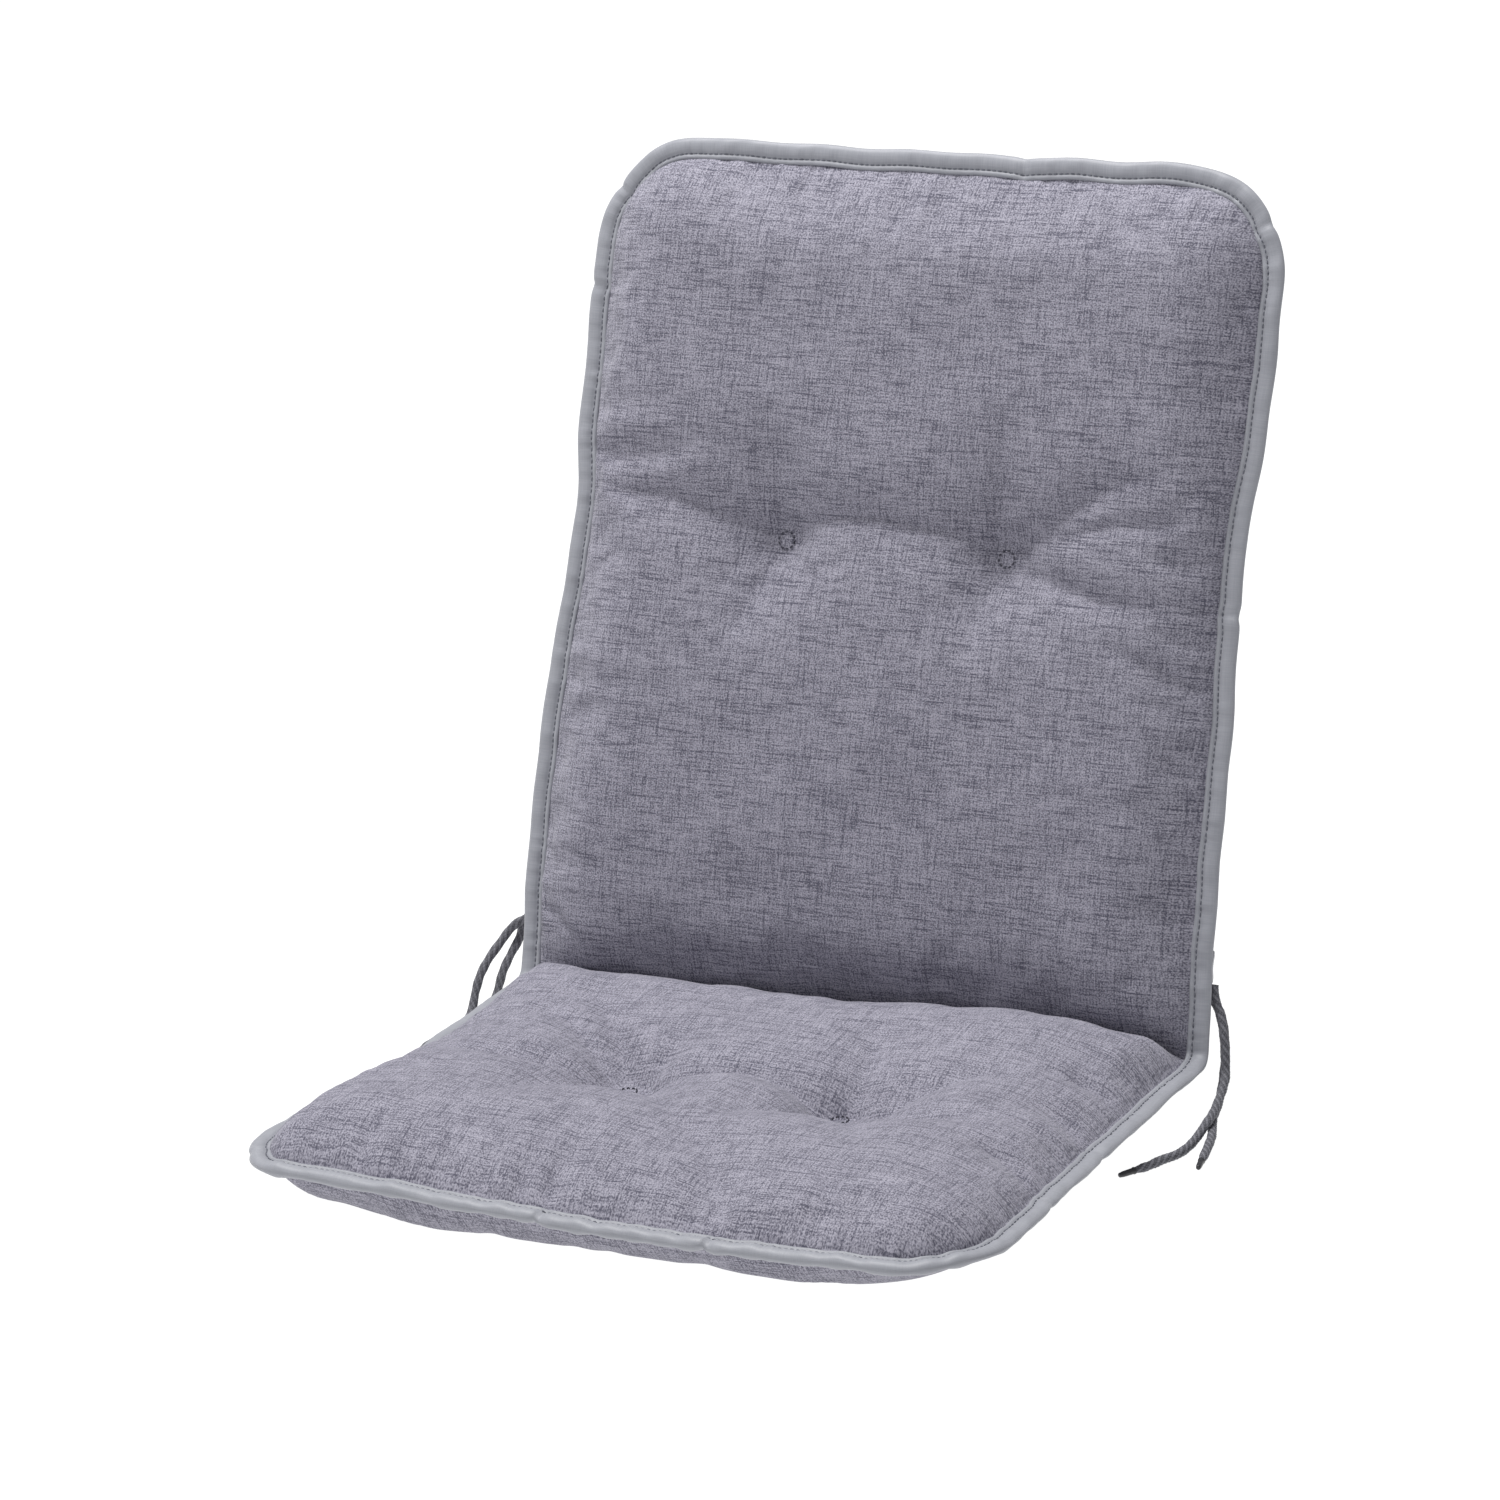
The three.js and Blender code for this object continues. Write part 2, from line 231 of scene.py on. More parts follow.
def flat_noise(tree, vector, **values):
    flat = ("noise_dimensions", "2D")
    return put(tree, "ShaderNodeTexNoise", flat, Vector=vector.outputs[0], Scale=1.0, **values).outputs["Fac"]


def flat_place(tree):
    """The place on the cut cloth, in metres."""
    return put(tree, "ShaderNodeUVMap", ("uv_map", "flat")).outputs[0]


def dress(tree, shader, tone, tones, height, depth, strength, **values):
    """Colour from a tone between two colours, a bump from a height, and the shader's other sockets."""
    ramp = put(tree, "ShaderNodeValToRGB", Fac=tone)
    for element, colour in zip(ramp.color_ramp.elements, tones):
        element.color = (*colour, 1)
    bump = put(tree, "ShaderNodeBump", Height=height, Distance=depth, Strength=strength)
    fill(tree, shader, {"Base_Color": ramp.outputs[0], "Normal": bump.outputs[0], **values})


def stretched_noise(tree, source, across, along, detail, shift):
    """Noise on the flat cloth whose grains are across by along millimetres."""
    scale = (1000 / across, 1000 / along, 1)
    place = (shift, shift * 0.7, 0)
    moved = put(tree, "ShaderNodeMapping", Vector=source, Scale=scale, Location=place)
    return flat_noise(tree, moved, Detail=detail, Roughness=0.55)


def thread_noise(tree, across, along, pitch, length, shift):
    """Threads side by side, pitch apart: each one's tone drifts by itself over length millimetres."""
    number = math_node(tree, "FLOOR", math_node(tree, "MULTIPLY_ADD", across, 1000 / pitch, shift))
    run = math_node(tree, "MULTIPLY", along, 1000 / length)
    place = math_node(tree, "MULTIPLY_ADD", number, 0.377, run)
    row = math_node(tree, "MULTIPLY", number, 7.31)
    return flat_noise(tree, put(tree, "ShaderNodeCombineXYZ", X=place, Y=row), Detail=1.0)


def fabric_material(name, dark, light, roughness):
    """Threads of many tones both ways, with a few dark slubs that run far along one thread."""
    material, tree, shader = new_material(name)
    flat = flat_place(tree)
    place = put(tree, "ShaderNodeSeparateXYZ", Vector=flat)
    x, t = place.outputs[0], place.outputs[1]
    grain = stretched_noise(tree, flat, 1.1, 1.05, 1.0, 97.3)
    warp = thread_noise(tree, x, t, 0.75, 14.0, 0.31)
    weft = thread_noise(tree, t, x, 0.75, 18.0, 0.17)
    slub_warp = thread_noise(tree, x, t, 0.9, 30.0, 41.7)
    slub_weft = thread_noise(tree, t, x, 0.9, 36.0, 71.9)
    patch = stretched_noise(tree, flat, 30.0, 26.0, 2.0, 11.9)
    tone = 0.56
    for source, share in ((grain, 2.1), (warp, 0.8), (weft, 0.92), (patch, 0.15)):
        part = math_node(tree, "MULTIPLY_ADD", source, share, -0.5 * share)
        tone = math_node(tree, "ADD", part, tone)
    for source, share in ((slub_warp, 0.24), (slub_weft, 0.34)):
        tone = math_node(tree, "SUBTRACT", tone, spread(tree, source, 0.6, 0.7, 0.0, share))
    threads = math_node(tree, "ADD", warp, weft)
    height = math_node(tree, "ADD", threads, grain)
    rough = spread(tree, threads, 1.0, 2.4, roughness + 0.06, roughness - 0.06)
    gloss = {"Roughness": rough, "Specular IOR Level": 0.25, "Sheen Weight": 0.12, "Sheen Roughness": 0.5}
    dress(tree, shader, tone, (dark, light), height, 0.0004, 0.4, **gloss)
    return material


def tape_material():
    material, tree, shader = new_material("binding_satin")
    flat = flat_place(tree)
    ribs = stretched_noise(tree, flat, 0.5, 14.0, 1.0, 5.3)
    length = stretched_noise(tree, flat, 30.0, 0.8, 1.0, 9.1)
    cloud = stretched_noise(tree, flat, 24.0, 12.0, 2.0, 1.7)
    tone = math_node(tree, "ADD", ribs, math_node(tree, "MULTIPLY", length, 0.6))
    tone = math_node(tree, "MULTIPLY_ADD", cloud, 0.8, tone)
    tone = spread(tree, tone, 0.8, 1.7, 0.0, 1.0)
    tones = ((0.255, 0.262, 0.293), (0.312, 0.319, 0.354))
    gloss = {"Roughness": 0.52, "Specular IOR Level": 0.45, "Sheen Weight": 0.15}
    dress(tree, shader, tone, tones, ribs, 0.0002, 0.25, **gloss)
    return material


def plain_material(name, low, high, size, roughness, specular=0.3, bump_depth=0.0003):
    """Two tones mixed by a noise of the given grain in millimetres, with a fine bump."""
    material, tree, shader = new_material(name)
    place = put(tree, "ShaderNodeTexCoord").outputs["Object"]
    noise = put(tree, "ShaderNodeTexNoise", Vector=place, Scale=1000 / size, Detail=3.0).outputs["Fac"]
    tone = spread(tree, noise, 0.3, 0.7, 0.0, 1.0)
    rough = spread(tree, noise, 0.3, 0.7, roughness + 0.05, roughness - 0.05)
    gloss = {"Roughness": rough, "Specular IOR Level": specular}
    dress(tree, shader, tone, (low, high), noise, bump_depth, 0.3, **gloss)
    return material


BRAID_PITCH = 3.4  # millimetres of cord for one strand's step round it
BRAID_STRANDS = 8


def braid_material():
    """Strands that cross in two directions, every other one lighter, with painted shade in the grooves where
    they meet.
    """
    material, tree, shader = new_material("tie_cord_braid")
    flat = flat_place(tree)
    parts = put(tree, "ShaderNodeSeparateXYZ", Vector=flat)
    along = math_node(tree, "MULTIPLY", parts.outputs[1], 1000 / BRAID_PITCH)
    around = math_node(tree, "MULTIPLY", parts.outputs[0], 1000 * BRAID_STRANDS)
    one = math_node(tree, "ADD", around, along)
    other = math_node(tree, "SUBTRACT", around, along)
    edges = [math_node(tree, "PINGPONG", math_node(tree, "FRACT", way), 0.5) for way in (one, other)]
    half = math_node(tree, "FRACT", math_node(tree, "MULTIPLY", one, 0.5))
    light = math_node(tree, "GREATER_THAN", half, 0.5)
    seam = math_node(tree, "MULTIPLY", *edges)
    grain = stretched_noise(tree, flat, 0.06, 1.0, 2.0, 3.3)
    # the seam term darkens the grooves where strands meet, which is painted shade, and also gives the bump
    # its relief
    tone = math_node(tree, "MULTIPLY_ADD", light, 0.32, math_node(tree, "MULTIPLY", seam, 1.6))
    tone = math_node(tree, "MULTIPLY_ADD", grain, 0.5, tone)
    tone = spread(tree, tone, 0.15, 1.05, 0.0, 1.0)
    tones = ((0.035, 0.035, 0.042), (0.24, 0.24, 0.27))
    gloss = {"Roughness": 0.72, "Specular IOR Level": 0.3}
    dress(tree, shader, tone, tones, seam, 0.0008, 0.5, **gloss)
    return material


FABRIC = fabric_material("heather_cloth", (0.088, 0.086, 0.118), (0.355, 0.345, 0.408), 0.9)
TAPE = tape_material()
THREAD = plain_material("sewing_thread", (0.10, 0.105, 0.13), (0.17, 0.175, 0.21), 0.6, 0.6)
# The tuft thread's dark tone is painted shade: the ring stitches are coloured for the shaded needle holes
# round each tuft.
TUFT_THREAD_PAINTED_SHADE = plain_material("tuft_thread_painted_shade", (0.04, 0.04, 0.055), (0.09, 0.09, 0.115), 0.6, 0.6)
WADDING = plain_material("polyester_wadding", (0.74, 0.73, 0.70), (0.86, 0.85, 0.83), 3.0, 0.95, 0.1, 0.002)
BRAID = braid_material()
AGLET = plain_material("aglet_shrink_tip", (0.012, 0.012, 0.014), (0.035, 0.035, 0.04), 2.0, 0.38, 0.5)

# ---------------------------------------------------------------- tie cords

CORD_ROUTES = {
    "tie_cord_right_front": [
        (0.2486, 0.2208, 0.0766), (0.2486, 0.2201, 0.0742), (0.2496, 0.2189, 0.0696),
        (0.2522, 0.2172, 0.0630), (0.2554, 0.2148, 0.0560), (0.2584, 0.2108, 0.0470),
        (0.2605, 0.2077, 0.0335), (0.2622, 0.2035, 0.0215), (0.2650, 0.1872, 0.0144),
        (0.2679, 0.1670, 0.0102), (0.2692, 0.1560, 0.0096), (0.2694, 0.1490, 0.0086),
        (0.2688, 0.1410, 0.0060), (0.2683, 0.1330, 0.0040), (0.2681, 0.1184, 0.0032),
        (0.2659, 0.1045, 0.0032), (0.2607, 0.0934, 0.0032), (0.2562, 0.0806, 0.0032),
        (0.2509, 0.0706, 0.0032),
    ],
    "tie_cord_right_rear": [
        (0.2422, 0.2208, 0.0766), (0.2422, 0.2201, 0.0742), (0.2438, 0.2220, 0.0696),
        (0.2482, 0.2228, 0.0630), (0.2524, 0.2218, 0.0564), (0.2552, 0.2198, 0.0485),
        (0.2572, 0.2166, 0.0360), (0.2578, 0.2120, 0.0195), (0.2586, 0.2034, 0.0074),
        (0.2612, 0.1890, 0.0034), (0.2648, 0.1730, 0.0032), (0.2704, 0.1570, 0.0032),
        (0.2758, 0.1415, 0.0032), (0.2806, 0.1210, 0.0032), (0.2846, 0.1006, 0.0032),
    ],
    "tie_cord_left_front": [
        (-0.2486, 0.2208, 0.0766), (-0.2486, 0.2201, 0.0742), (-0.2506, 0.2193, 0.0706),
        (-0.2556, 0.2186, 0.0668), (-0.2625, 0.2184, 0.0626), (-0.2686, 0.2174, 0.0570),
        (-0.2734, 0.2110, 0.0488), (-0.2776, 0.2024, 0.0404), (-0.2806, 0.1944, 0.0310),
        (-0.2820, 0.1884, 0.0206), (-0.2818, 0.1814, 0.0096), (-0.2808, 0.1700, 0.0040),
        (-0.2810, 0.1540, 0.0032), (-0.2840, 0.1370, 0.0032), (-0.2850, 0.1200, 0.0032),
        (-0.2810, 0.1040, 0.0032), (-0.2750, 0.0910, 0.0032),
    ],
    "tie_cord_left_rear": [
        (-0.2422, 0.2208, 0.0766), (-0.2422, 0.2201, 0.0742), (-0.2444, 0.2227, 0.0712),
        (-0.2502, 0.2262, 0.0696), (-0.2570, 0.2280, 0.0666), (-0.2624, 0.2268, 0.0600),
        (-0.2640, 0.2216, 0.0495), (-0.2664, 0.2134, 0.0410), (-0.2690, 0.2056, 0.0310),
        (-0.2708, 0.1990, 0.0180), (-0.2716, 0.1904, 0.0076), (-0.2714, 0.1780, 0.0035),
        (-0.2704, 0.1600, 0.0032), (-0.2700, 0.1420, 0.0032), (-0.2720, 0.1240, 0.0032),
        (-0.2700, 0.1060, 0.0032),
    ],
}
CORD_STEP = 0.55
CORD_SIDES = 24
TIP_SIDES = 20
# The tip's profile: places along it from the cord's end, and its radius there.
TIP_AT = np.array([0, 0.15, 0.7, 2.0, 4.0, 7.0, 9.5, 11.4, 12.4, 12.85, 13.0])
TIP_RADII = np.array([2.0, 2.3, 2.35, 2.1, 1.95, 1.9, 1.85, 1.75, 1.5, 1.1, 0.6])
TIP_START = 0.12


def route_line(points, step):
    """The centripetal curve through a route's points, in millimetres, at about step apart."""
    p = np.array(points) * 1000
    p = np.vstack([2 * p[0] - p[1], p, 2 * p[-1] - p[-2]])
    line = []
    for a, b, c, d in zip(p, p[1:], p[2:], p[3:]):
        ta = 0.0
        tb = ta + np.linalg.norm(b - a) ** 0.5
        tc = tb + np.linalg.norm(c - b) ** 0.5
        td = tc + np.linalg.norm(d - c) ** 0.5
        t = np.linspace(tb, tc, 40, endpoint=False)[:, None]
        ab = (tb - t) / (tb - ta) * a + (t - ta) / (tb - ta) * b
        bc = (tc - t) / (tc - tb) * b + (t - tb) / (tc - tb) * c
        cd = (td - t) / (td - tc) * c + (t - tc) / (td - tc) * d
        abc = (tc - t) / (tc - ta) * ab + (t - ta) / (tc - ta) * bc
        bcd = (td - t) / (td - tb) * bc + (t - tb) / (td - tb) * cd
        line.append((tc - t) / (tc - tb) * abc + (t - tb) / (tc - tb) * bcd)
    line = np.vstack([*line, p[-2]])
    return resample(line, int(round(arc_lengths(line)[-1] / step)) + 1)


def side_directions(line):
    """Two directions across a line at each point, carried along it without twisting."""
    tangent = unit(np.gradient(line, axis=0))
    side = unit(np.cross(tangent[0], (0.3, 0.2, 1.0)))
    sides = []
    for t in tangent:
        side = unit(side - t * np.dot(side, t))
        sides.append(side)
    sides = np.array(sides)
    return sides, np.cross(tangent, sides)


def tube(line, radii, sides):
    """Points of a tube; radii holds one radius per point round each ring."""
    one, two = side_directions(line)
    angle = (np.arange(sides) / sides * 2 * np.pi)[None, :, None]
    ring = one[:, None] * np.cos(angle) + two[:, None] * np.sin(angle)
    return (line[:, None] + ring * radii[..., None]).reshape(-1, 3)


def capped(points, rings, sides):
    """The tube's points and faces with both ends closed to a middle point."""
    faces = tube_faces(rings, sides, False).tolist()
    ends = [points[:sides].mean(axis=0), points[-sides:].mean(axis=0)]
    count = len(points)
    last = (rings - 1) * sides
    for j in range(sides):
        right = (j + 1) % sides
        faces.append([count, right, j])
        faces.append([count + 1, last + j, last + right])
    return np.vstack([points, ends]), faces


def add_cord(name, route):
    """A braided cord along its route, drawn in at its end, with a shrunk tip lying level after it."""
    line = route_line(route, CORD_STEP)
    s = arc_lengths(line)
    length = s[-1]
    around = np.arange(CORD_SIDES) / CORD_SIDES
    a = around[None, :] * BRAID_STRANDS + s[:, None] / BRAID_PITCH
    b = around[None, :] * BRAID_STRANDS - s[:, None] / BRAID_PITCH
    weave = np.abs(np.cos(np.pi * a) * np.cos(np.pi * b))
    drawn_in = 1 - 0.30 * smooth(length - 9, length, s)
    soft = 0.12 * wander(s, 9, 30, 71)
    radii = (CORD_DIAMETER / 2 - 0.2 + 0.3 * weave + soft[:, None]) * drawn_in[:, None]
    points, faces = capped(tube(line, radii, CORD_SIDES), len(line), CORD_SIDES)
    flat = np.stack([np.tile(around, len(s)), np.repeat(s, CORD_SIDES)], axis=1)
    flat = np.vstack([flat, [0.5, 0.0], [0.5, length]])
    cord = make_mesh(name + "_braid", points, faces, BRAID, flat)
    fit_in(cord, "tie_braid", name)

    along = line[-1] - line[-3]
    along[2] = 0
    along = unit(along)
    tip_line = line[-1] + along * TIP_START + along * TIP_AT[:, None]
    ridge = 1 + 0.05 * np.sin(TIP_AT * 2.1)
    radii = np.repeat((TIP_RADII * ridge)[:, None], TIP_SIDES, axis=1)
    points, faces = capped(tube(tip_line, radii, TIP_SIDES), len(TIP_AT), TIP_SIDES)
    tip_name = name.replace("tie_cord", "aglet")
    tip = make_mesh(tip_name + "_tip", points, faces, AGLET)
    fit_in(tip, "aglet_plastic", tip_name)


for cord_name, cord_route in CORD_ROUTES.items():
    add_cord(cord_name, cord_route)

# ---------------------------------------------------------------- the two panels


class Panel:
    """A panel's own frame: x across, t along from the crease, n out of the seam plane to the front."""

    def __init__(self, name, along, out, length, tuft, side, corners, lean, flare, lift):
        self.name, self.length, self.tuft, self.lift = name, length, tuft, lift
        self.along, self.out = np.array(along), np.array(out)
        self.left, self.right = [self.half_outline(side, *corner) for corner in corners]
        self.left *= (-1, 1)
        self.left[:, 0] *= 1 + flare * smooth(120, 340, self.left[:, 1])
        self.lean = np.array(lean, float)

    def leaned(self, x, t):
        """The panel isn't sewn quite square: it drifts sideways along its length."""
        return x + np.interp(t, self.lean[:, 0], self.lean[:, 1])

    def curl(self, x, t):
        """How far the seam stands up out of its plane, towards the left end of the far edge."""
        return self.lift * smooth(-60, 240, -x) * smooth(150, 380, t)

    def world(self, x, t, n):
        x, t, n = np.broadcast_arrays(np.asarray(x, float), t, n)
        n = n + self.curl(x, t)
        x = self.leaned(x, t)
        across = np.array([1.0, 0.0, 0.0])
        return CREASE + x[..., None] * across + t[..., None] * self.along + n[..., None] * self.out

    def half_outline(self, side, start, end):
        """The right side, the corner and half of the far edge, from the crease on."""
        p = np.array(side, float)
        line = spline(np.vstack([p[0], p, 2 * p[-1] - p[-2]]), 30)
        (sx, sy), (ex, ey) = start, end
        pull = 0.56  # how far the corner's handles reach, which sets how round it is
        t = np.linspace(0, 1, 60)[:, None]
        one = np.array([sx - 1, sy + (ey - sy) * pull])
        two = np.array([ex + (sx - ex) * pull, ey + 1])
        start, end = np.array(start), np.array(end)
        bent = start * (1 - t) ** 3 + 3 * one * t * (1 - t) ** 2 + 3 * two * t**2 * (1 - t)
        line.append(bent + end * t**3)
        run = np.linspace(0, 1, 40)[1:]
        line.append(np.stack([ex * (1 - run), ey + (self.length - ey) * smooth(0, 0.6, run)], axis=1))
        line = np.vstack(line)
        line = line[line[:, 1] >= 0]
        return np.vstack([[CREASE_HALF_WIDTH, 0], line])

    def outline(self, inset, count=1200):
        """The outline moved in, from the right end of the crease over the far edge to the left end."""
        whole = resample(np.vstack([self.right, self.left[::-1][1:]]), count)
        kernel = np.exp(-0.5 * (np.arange(-24, 25) / 8.0) ** 2)
        kernel /= kernel.sum()
        before = whole[:1] + (whole[:1] - whole[24:0:-1])
        after = whole[-1:] * 2 - whole[-2:-26:-1]
        whole = np.vstack([before, whole, after])
        whole = np.stack([np.convolve(whole[:, i], kernel, mode="valid") for i in range(2)], axis=1)
        tangent = unit(np.gradient(whole, axis=0))
        inward = np.stack([-tangent[:, 1], tangent[:, 0]], axis=1)
        return whole + inward * inset, tangent, inward


# side: points (x, t) down the right edge; corners: where the left and the right one start and end;
# lean: how far to the side the panel has drifted at each t.
SEAT = Panel(
    "seat",
    along=(0.0, -1.0, 0.0),
    out=(0.0, 0.0, 1.0),
    length=400.0,
    tuft=(75.0, 191.0),
    side=[(252, -20), (252, 60), (251, 160), (251, 250), (252, 322)],
    corners=(((252, 347), (212, 398)), ((252, 322), (176, 396))),
    lean=[(0, 0), (1, 0)],
    flare=0.034,
    lift=9.0,
)
BACK = Panel(
    "back",
    along=(0.0, math.sin(TILT), math.cos(TILT)),
    out=(0.0, -math.cos(TILT), math.sin(TILT)),
    length=581.0,
    tuft=(80.0, 315.0),
    side=[(252, -20), (251.5, 90), (249.5, 210), (243.5, 315), (248.5, 415), (249, 505)],
    corners=(((249, 505), (178, 582)), ((249, 505), (178, 582))),
    lean=[
        *((0, 0), (60, -3), (130, -3.6), (190, -2), (250, 0.3)),
        *((300, 2), (370, 3.6), (440, 6), (500, 7.5), (582, 9.5)),
    ],
    flare=0.0,
    lift=0.0,
)

# Folds in the cloth on each front face: points (x, t), depth, half width of the sharp part, and kind:
# 0 fades out, 1 joins two tufts, 2 fades and deepens again at its end, 3 is shallow all along.
SEAT_FOLDS = [
    ([(-75, 191), (-59, 192), (-48, 185), (-35, 177), (-16, 172)]
     + [(5, 170), (29, 174), (53, 182), (75, 191)], 6, 11, 1),
    ([(-75, 191), (-90, 163), (-113, 127), (-144, 91), (-168, 68)], 7.5, 13, 0),
    ([(-75, 191), (-98, 172), (-124, 151), (-150, 129), (-183, 117)], 6.5, 11, 0),
    ([(-75, 191), (-92, 195), (-107, 199), (-132, 204), (-166, 208), (-200, 216)], 6, 9, 0),
    ([(75, 191), (92, 185), (107, 174), (123, 158), (145, 140), (170, 120)], 6, 11, 0),
    ([(75, 191), (74, 165), (66, 123), (56, 80)], 6, 12, 0),
    ([(-75, 191), (-70, 165), (-64, 140), (-62, 110)], 5, 12, 0),
    ([(-75, 191), (-45, 220), (-13, 262), (36, 312), (56, 340), (69, 362), (79, 398)], 6.5, 14, 2),
    ([(75, 191), (95, 202), (120, 208), (155, 212), (190, 224)], 6, 11, 0),
    ([(75, 191), (52, 222), (34, 250), (22, 280)], 5, 13, 0),
    ([(75, 191), (94, 226), (118, 262), (140, 300)], 3.5, 14, 0),
    ([(-75, 191), (-92, 222), (-112, 262), (-124, 300)], 4, 14, 0),
    ([(-35, 398), (-38, 372), (-46, 345)], 3.5, 9, 0),
    ([(236, 262), (222, 250), (206, 244), (186, 243)], 3.2, 7, 3),
    ([(238, 120), (224, 112), (210, 110), (196, 114)], 2.6, 6, 3),
    ([(238, 176), (222, 166), (204, 164)], 2.0, 6, 3),
]
BACK_FOLDS = [
    ([(-80, 315), (-66, 323), (-41, 331), (-19, 333), (3, 332)]
     + [(26, 330), (48, 327), (66, 322), (80, 315)], 8, 9, 1),
    ([(-80, 315), (-100, 321), (-118, 325), (-139, 332), (-155, 337), (-178, 338), (-216, 338)], 7.5, 9, 0),
    ([(80, 315), (94, 324), (106, 332), (119, 342), (133, 353), (148, 363), (168, 372), (202, 382)], 8, 9, 0),
    ([(80, 315), (97, 309), (111, 304), (127, 299), (145, 294)]
     + [(165, 291), (197, 289), (232, 290)], 6.5, 8, 0),
    ([(80, 315), (106, 326), (140, 338), (180, 345), (215, 350)], 4.5, 9, 0),
    ([(-80, 315), (-80, 340), (-85, 361), (-91, 381), (-96, 407)], 6, 11, 0),
    ([(80, 315), (79, 346), (76, 373), (75, 393), (72, 419)], 6, 11, 0),
    ([(-80, 315), (-84, 301), (-88, 290), (-94, 271), (-101, 249)], 5.5, 9, 0),
    ([(-80, 315), (-98, 308), (-107, 297), (-117, 276), (-121, 258)], 4, 8, 0),
    ([(80, 315), (77, 302), (72, 284), (70, 266), (68, 240)], 6, 9, 0),
    ([(80, 315), (96, 300), (112, 283), (128, 262), (138, 240)], 3.5, 9, 0),
    ([(-138, 378), (-165, 368), (-196, 363), (-230, 360)], 3.4, 7, 3),
    ([(236, 330), (215, 322), (190, 322)], 2.6, 5, 3),
    ([(238, 268), (214, 270), (188, 278)], 2.8, 5, 3),
    ([(238, 244), (212, 248), (186, 256), (166, 262)], 2.4, 6, 3),
    ([(238, 222), (216, 226), (192, 230)], 1.8, 5, 3),
]
REAR_SHARE = 0.6  # a rear face's folds are this much as deep


def distance_to(line, x, t):
    """How far each point is from a line of points, the share of the line at its foot, and its run."""
    s = arc_lengths(line)
    best = np.full(x.shape, 1e9)
    share = np.zeros(x.shape)
    for i in range(len(line) - 1):
        a, d = line[i], line[i + 1] - line[i]
        along = np.clip(((x - a[0]) * d[0] + (t - a[1]) * d[1]) / max(d @ d, 1e-9), 0, 1)
        gap = np.hypot(x - a[0] - along * d[0], t - a[1] - along * d[1])
        near = gap < best
        best[near] = gap[near]
        share[near] = ((s[i] + along * (s[i + 1] - s[i])) / s[-1])[near]
    return best, share, s[-1]


def curve_through(points, count=24):
    """A soft line through a few points."""
    p = np.array(points, float)
    p = np.vstack([2 * p[0] - p[1], p, 2 * p[-1] - p[-2]])
    return resample(np.vstack([*spline(p, 8), p[-2]]), count)


def fold_depth(folds, x, t):
    """How much the folds draw a face in."""
    total = np.zeros_like(x)
    for points, depth, width, kind in folds:
        gap, share, _ = distance_to(curve_through(points), x, t)
        if kind == 0:
            fade = (1 - share) ** 0.8
        elif kind == 1:
            fade = 1 - 0.35 * np.sin(np.pi * share)
        elif kind == 2:
            fade = np.maximum(1 - 1.6 * share, 0.35 + 0.5 * (share - 0.5))
        else:
            fade = np.sin(np.pi * np.clip(share * 0.8 + 0.1, 0, 1))
        sharp = np.exp(-gap / (0.8 * width))
        wide = np.exp(-((gap / (1.9 * width)) ** 2))
        cut = depth * fade * (0.5 * sharp + 0.5 * wide)
        total = np.maximum(total, cut) + 0.3 * np.minimum(total, cut)
    return total


def tuft_radius(x, t, tuft):
    """How far each point is from the nearer of a panel's two tufts."""
    return np.minimum(np.hypot(x - tuft[0], t - tuft[1]), np.hypot(x + tuft[0], t - tuft[1]))


def tuft_pull(x, t, tuft, reach):
    """1 at a tuft, falling to 0 around it."""
    r = np.maximum(tuft_radius(x, t, tuft) - 5.5, 0)
    return np.exp(-((r / reach) ** 0.95))


def panel_grid(panel, across, along):
    """An even grid of (x, t) over a panel inside its seam, with its crease edge straight."""
    seam, _, _ = panel.outline(SEAM_INSET)
    # the grid's own corners sit halfway round the panel's rounded corners
    right_at = np.argmax(seam @ np.array([1.0, 1.0]))
    left_at = np.argmax(seam @ np.array([-1.0, 1.0]))
    right = resample(seam[: right_at + 1], along + 1)
    left = resample(seam[left_at:][::-1], along + 1)
    far = resample(seam[right_at : left_at + 1][::-1], across + 1)
    crease = np.linspace(left[0], right[0], across + 1)
    u = np.linspace(0, 1, across + 1)[None, :, None]
    v = np.linspace(0, 1, along + 1)[:, None, None]
    grid = (1 - v) * crease[None] + v * far[None] + (1 - u) * left[:, None] + u * right[:, None]
    near_part = (1 - u) * (1 - v) * left[0] + u * (1 - v) * right[0]
    grid -= near_part + (1 - u) * v * left[-1] + u * v * right[-1]
    return grid[..., 0], grid[..., 1]


def fold_share(x):
    """The angle that the seat's pad fills at the crease: more in the middle, where it pushes the back in."""
    return FOLD_ANGLE / 2 + 14 * np.exp(-((x / 130) ** 2))


FRONT_CROWN = 27.0


def front_height(panel, x, t, side_gap):
    """How high a front face stands before its folds and tufts."""
    if panel.name == "seat":
        right_rear = np.exp(-(((x - 150) / 110) ** 2) - ((t - 50) / 70) ** 2)
        crown = FRONT_CROWN + 5.0 * smooth(90, 250, t) + 8.0 * right_rear
        left_side = 0.24 * smooth(120, 230, -x) * (1 - smooth(300, 380, t))
        steep = 0.42 + left_side + 0.2 * (1 - smooth(60, 140, t))
        shape = steep * rise(side_gap, 24.0) + (1 - steep) * rise(side_gap, 125.0)
        return crown * shape * rise(t, 38.0)
    side_run, far_run = 46.0, 52.0
    far_share = smooth(0.45, 0.85, t / panel.length) * smooth(0.1, 0.5, 1 - np.abs(x) / 300)
    run = side_run + (far_run - side_run) * far_share
    return FRONT_CROWN * rise(side_gap, run) * rise(t, side_run)


